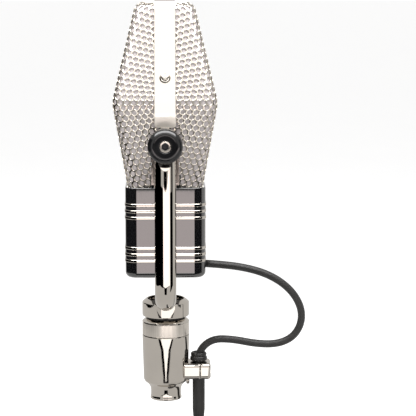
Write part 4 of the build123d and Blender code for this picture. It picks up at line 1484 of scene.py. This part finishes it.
class RIBBONMIC_OT_stage(bpy.types.Operator):
    """Set the floor, the surroundings, the lights and the camera"""
    bl_idname = "ribbon_mic.stage"
    bl_label = "Stage"
    bl_options = {"REGISTER", "UNDO"}

    def execute(self, context):
        studio = context.scene.ribbon_mic_studio
        scene = context.scene
        scene.view_settings.view_transform = "Standard"
        camera_data = bpy.data.cameras.new("camera")
        camera = bpy.data.objects.new("camera", camera_data)
        scene.collection.objects.link(camera)
        scene.camera = camera
        camera_data.lens = 147.5
        camera_data.sensor_width = 36
        camera_data.clip_end = 60
        camera.location = (1.426, 0.0, 0.3644)
        camera.rotation_euler = (Vector((0, 0.036, 0.164)) - camera.location).to_track_quat(
            "-Z", "Y").to_euler()

        clear_selection()
        bpy.ops.mesh.primitive_plane_add(size=60, location=(0, 0, CAD_BOX[0][2] - 0.0012))
        floor = bpy.context.object
        floor.name = "studio_floor"
        paper = Finish("floor paper")
        paper.colour(paper.noise(3, 2), (0.86, 0.86, 0.86), (0.9, 0.9, 0.9))
        paper.rough(paper.noise(8, 2), 0.85, 0.95)
        paper.shader.inputs["Emission Color"].default_value = (1, 1, 1, 1)
        paper.shader.inputs["Emission Strength"].default_value = FLOOR_GLOW
        floor.data.materials.append(paper.material)
        floor.visible_glossy = False

        world = bpy.data.worlds.new("surroundings")
        world.use_nodes = True
        tree = world.node_tree
        tree.nodes.clear()
        output = tree.nodes.new("ShaderNodeOutputWorld")
        white, plain, fill = (tree.nodes.new("ShaderNodeBackground") for _ in range(3))
        white.inputs["Color"].default_value = (*WARM_WHITE, 1)
        white.inputs["Strength"].default_value = studio.surround
        plain.inputs["Color"].default_value = (1, 1, 1, 1)
        plain.inputs["Strength"].default_value = BACKDROP_LEVEL
        fill.inputs["Strength"].default_value = studio.fill
        seen = tree.nodes.new("ShaderNodeLightPath")
        last = white
        for ray, other in (("Is Diffuse Ray", fill), ("Is Camera Ray", plain)):
            mix = tree.nodes.new("ShaderNodeMixShader")
            tree.links.new(seen.outputs[ray], mix.inputs[0])
            tree.links.new(last.outputs[0], mix.inputs[1])
            tree.links.new(other.outputs[0], mix.inputs[2])
            last = mix
        tree.links.new(last.outputs[0], output.inputs["Surface"])
        scene.world = world

        pink = (1.0, 0.88, 0.86)
        wall_card("front panel", [(-0.57, 0.012), (1.43, 0.012), (1.43, -0.145), (-0.57, -0.145)],
                  pink, studio.panel)
        wall_card("low panel", [(-0.57, -0.145), (1.43, -0.145), (1.43, -0.30), (0.68, -0.31),
                                (0.07, -0.385), (0.05, -0.41), (-0.05, -0.41), (-0.07, -0.385),
                                (-0.541, -0.31), (-0.57, -0.30)], WARM_WHITE, LOW_PANEL_LEVEL)
        wall_card("dark behind camera", [(-0.4, 0.014), (0.4, 0.014), (0.4, 0.16), (-0.4, 0.16)])
        wall_card("left taper", [(-1.488, -0.308), (-0.58, -0.308), (-0.08, -0.385), (-0.06, -0.41),
                                 (-0.30, -0.41)])
        wall_card("right taper", [(0.72, -0.308), (1.388, -0.308), (0.30, -0.41), (0.06, -0.41),
                                  (0.08, -0.385)])
        wall_card("low dark", [(-0.35, -0.412), (0.35, -0.412), (0.35, -1.4), (-0.35, -1.4)])
        card("near left flag", [(0.125, -0.45, 0.085), (0.125, -0.0268, 0.085), (0.125, -0.0268, 0.182),
                                (0.125, -0.45, 0.182)])
        card("near right flag", [(0.0865, 0.0263, 0.085), (0.0865, 0.12, 0.085), (0.0865, 0.12, 0.182),
                                 (0.0865, 0.0263, 0.182)])
        for name, y, far, near in (("left flag", -0.6, 0.64, -0.65), ("right flag", 0.6, 0.35, 0.12)):
            card(name, [(far, y, -0.03), (near, y, -0.03), (near, y, 0.5), (far, y, 0.5)])
        soft_box("overhead box", (0.45, 0.0, 1.15), (0.05, 0, 0.2), (1.9, 0.8), studio.overhead)
        soft_box("high front box", (1.35, 0.0, 1.0), (0.05, 0, 0.25), (1.6, 0.7), studio.front_top,
                 (1.0, 0.985, 0.95))
        return {"FINISHED"}


# ---- panel, registration, build -----------------------------------------------------------------

GROUPS = {"ribbon_mic_sizes": RibbonMicSizes, "ribbon_mic_tones": RibbonMicTones,
          "ribbon_mic_studio": RibbonMicStudio}
STEPS = ("stage", "plug", "cable", "grille", "band", "case", "yoke", "knobs", "mount", "clamp",
         "inner_parts")


class RIBBONMIC_PT_build(bpy.types.Panel):
    """The microphone's pieces, each with its own button"""
    bl_idname = "RIBBONMIC_PT_build"
    bl_label = "Ribbon Microphone"
    bl_space_type = "VIEW_3D"
    bl_region_type = "UI"
    bl_category = "Ribbon Mic"

    def draw(self, context):
        layout = self.layout
        for group in GROUPS:
            settings = getattr(context.scene, group)
            column = layout.column(align=True)
            for name in type(settings).__annotations__:
                column.prop(settings, name)
        column = layout.column(align=True)
        for step in STEPS:
            column.operator(f"ribbon_mic.{step}")


CLASSES = (*GROUPS.values(), RIBBONMIC_OT_stage, RIBBONMIC_OT_plug,
           RIBBONMIC_OT_cable, RIBBONMIC_OT_grille, RIBBONMIC_OT_band, RIBBONMIC_OT_case,
           RIBBONMIC_OT_yoke, RIBBONMIC_OT_knobs, RIBBONMIC_OT_mount, RIBBONMIC_OT_clamp,
           RIBBONMIC_OT_inner_parts, RIBBONMIC_PT_build)


def register():
    for one in CLASSES:
        bpy.utils.register_class(one)
    for name, group in GROUPS.items():
        setattr(bpy.types.Scene, name, PointerProperty(type=group))


def unregister():
    for name in GROUPS:
        delattr(bpy.types.Scene, name)
    for one in reversed(CLASSES):
        bpy.utils.unregister_class(one)


def main():
    register()
    make_finishes(bpy.context.scene.ribbon_mic_tones)
    for step in STEPS:
        getattr(bpy.ops.ribbon_mic, step)()
    clear_selection()


if __name__ == "__main__":
    main()
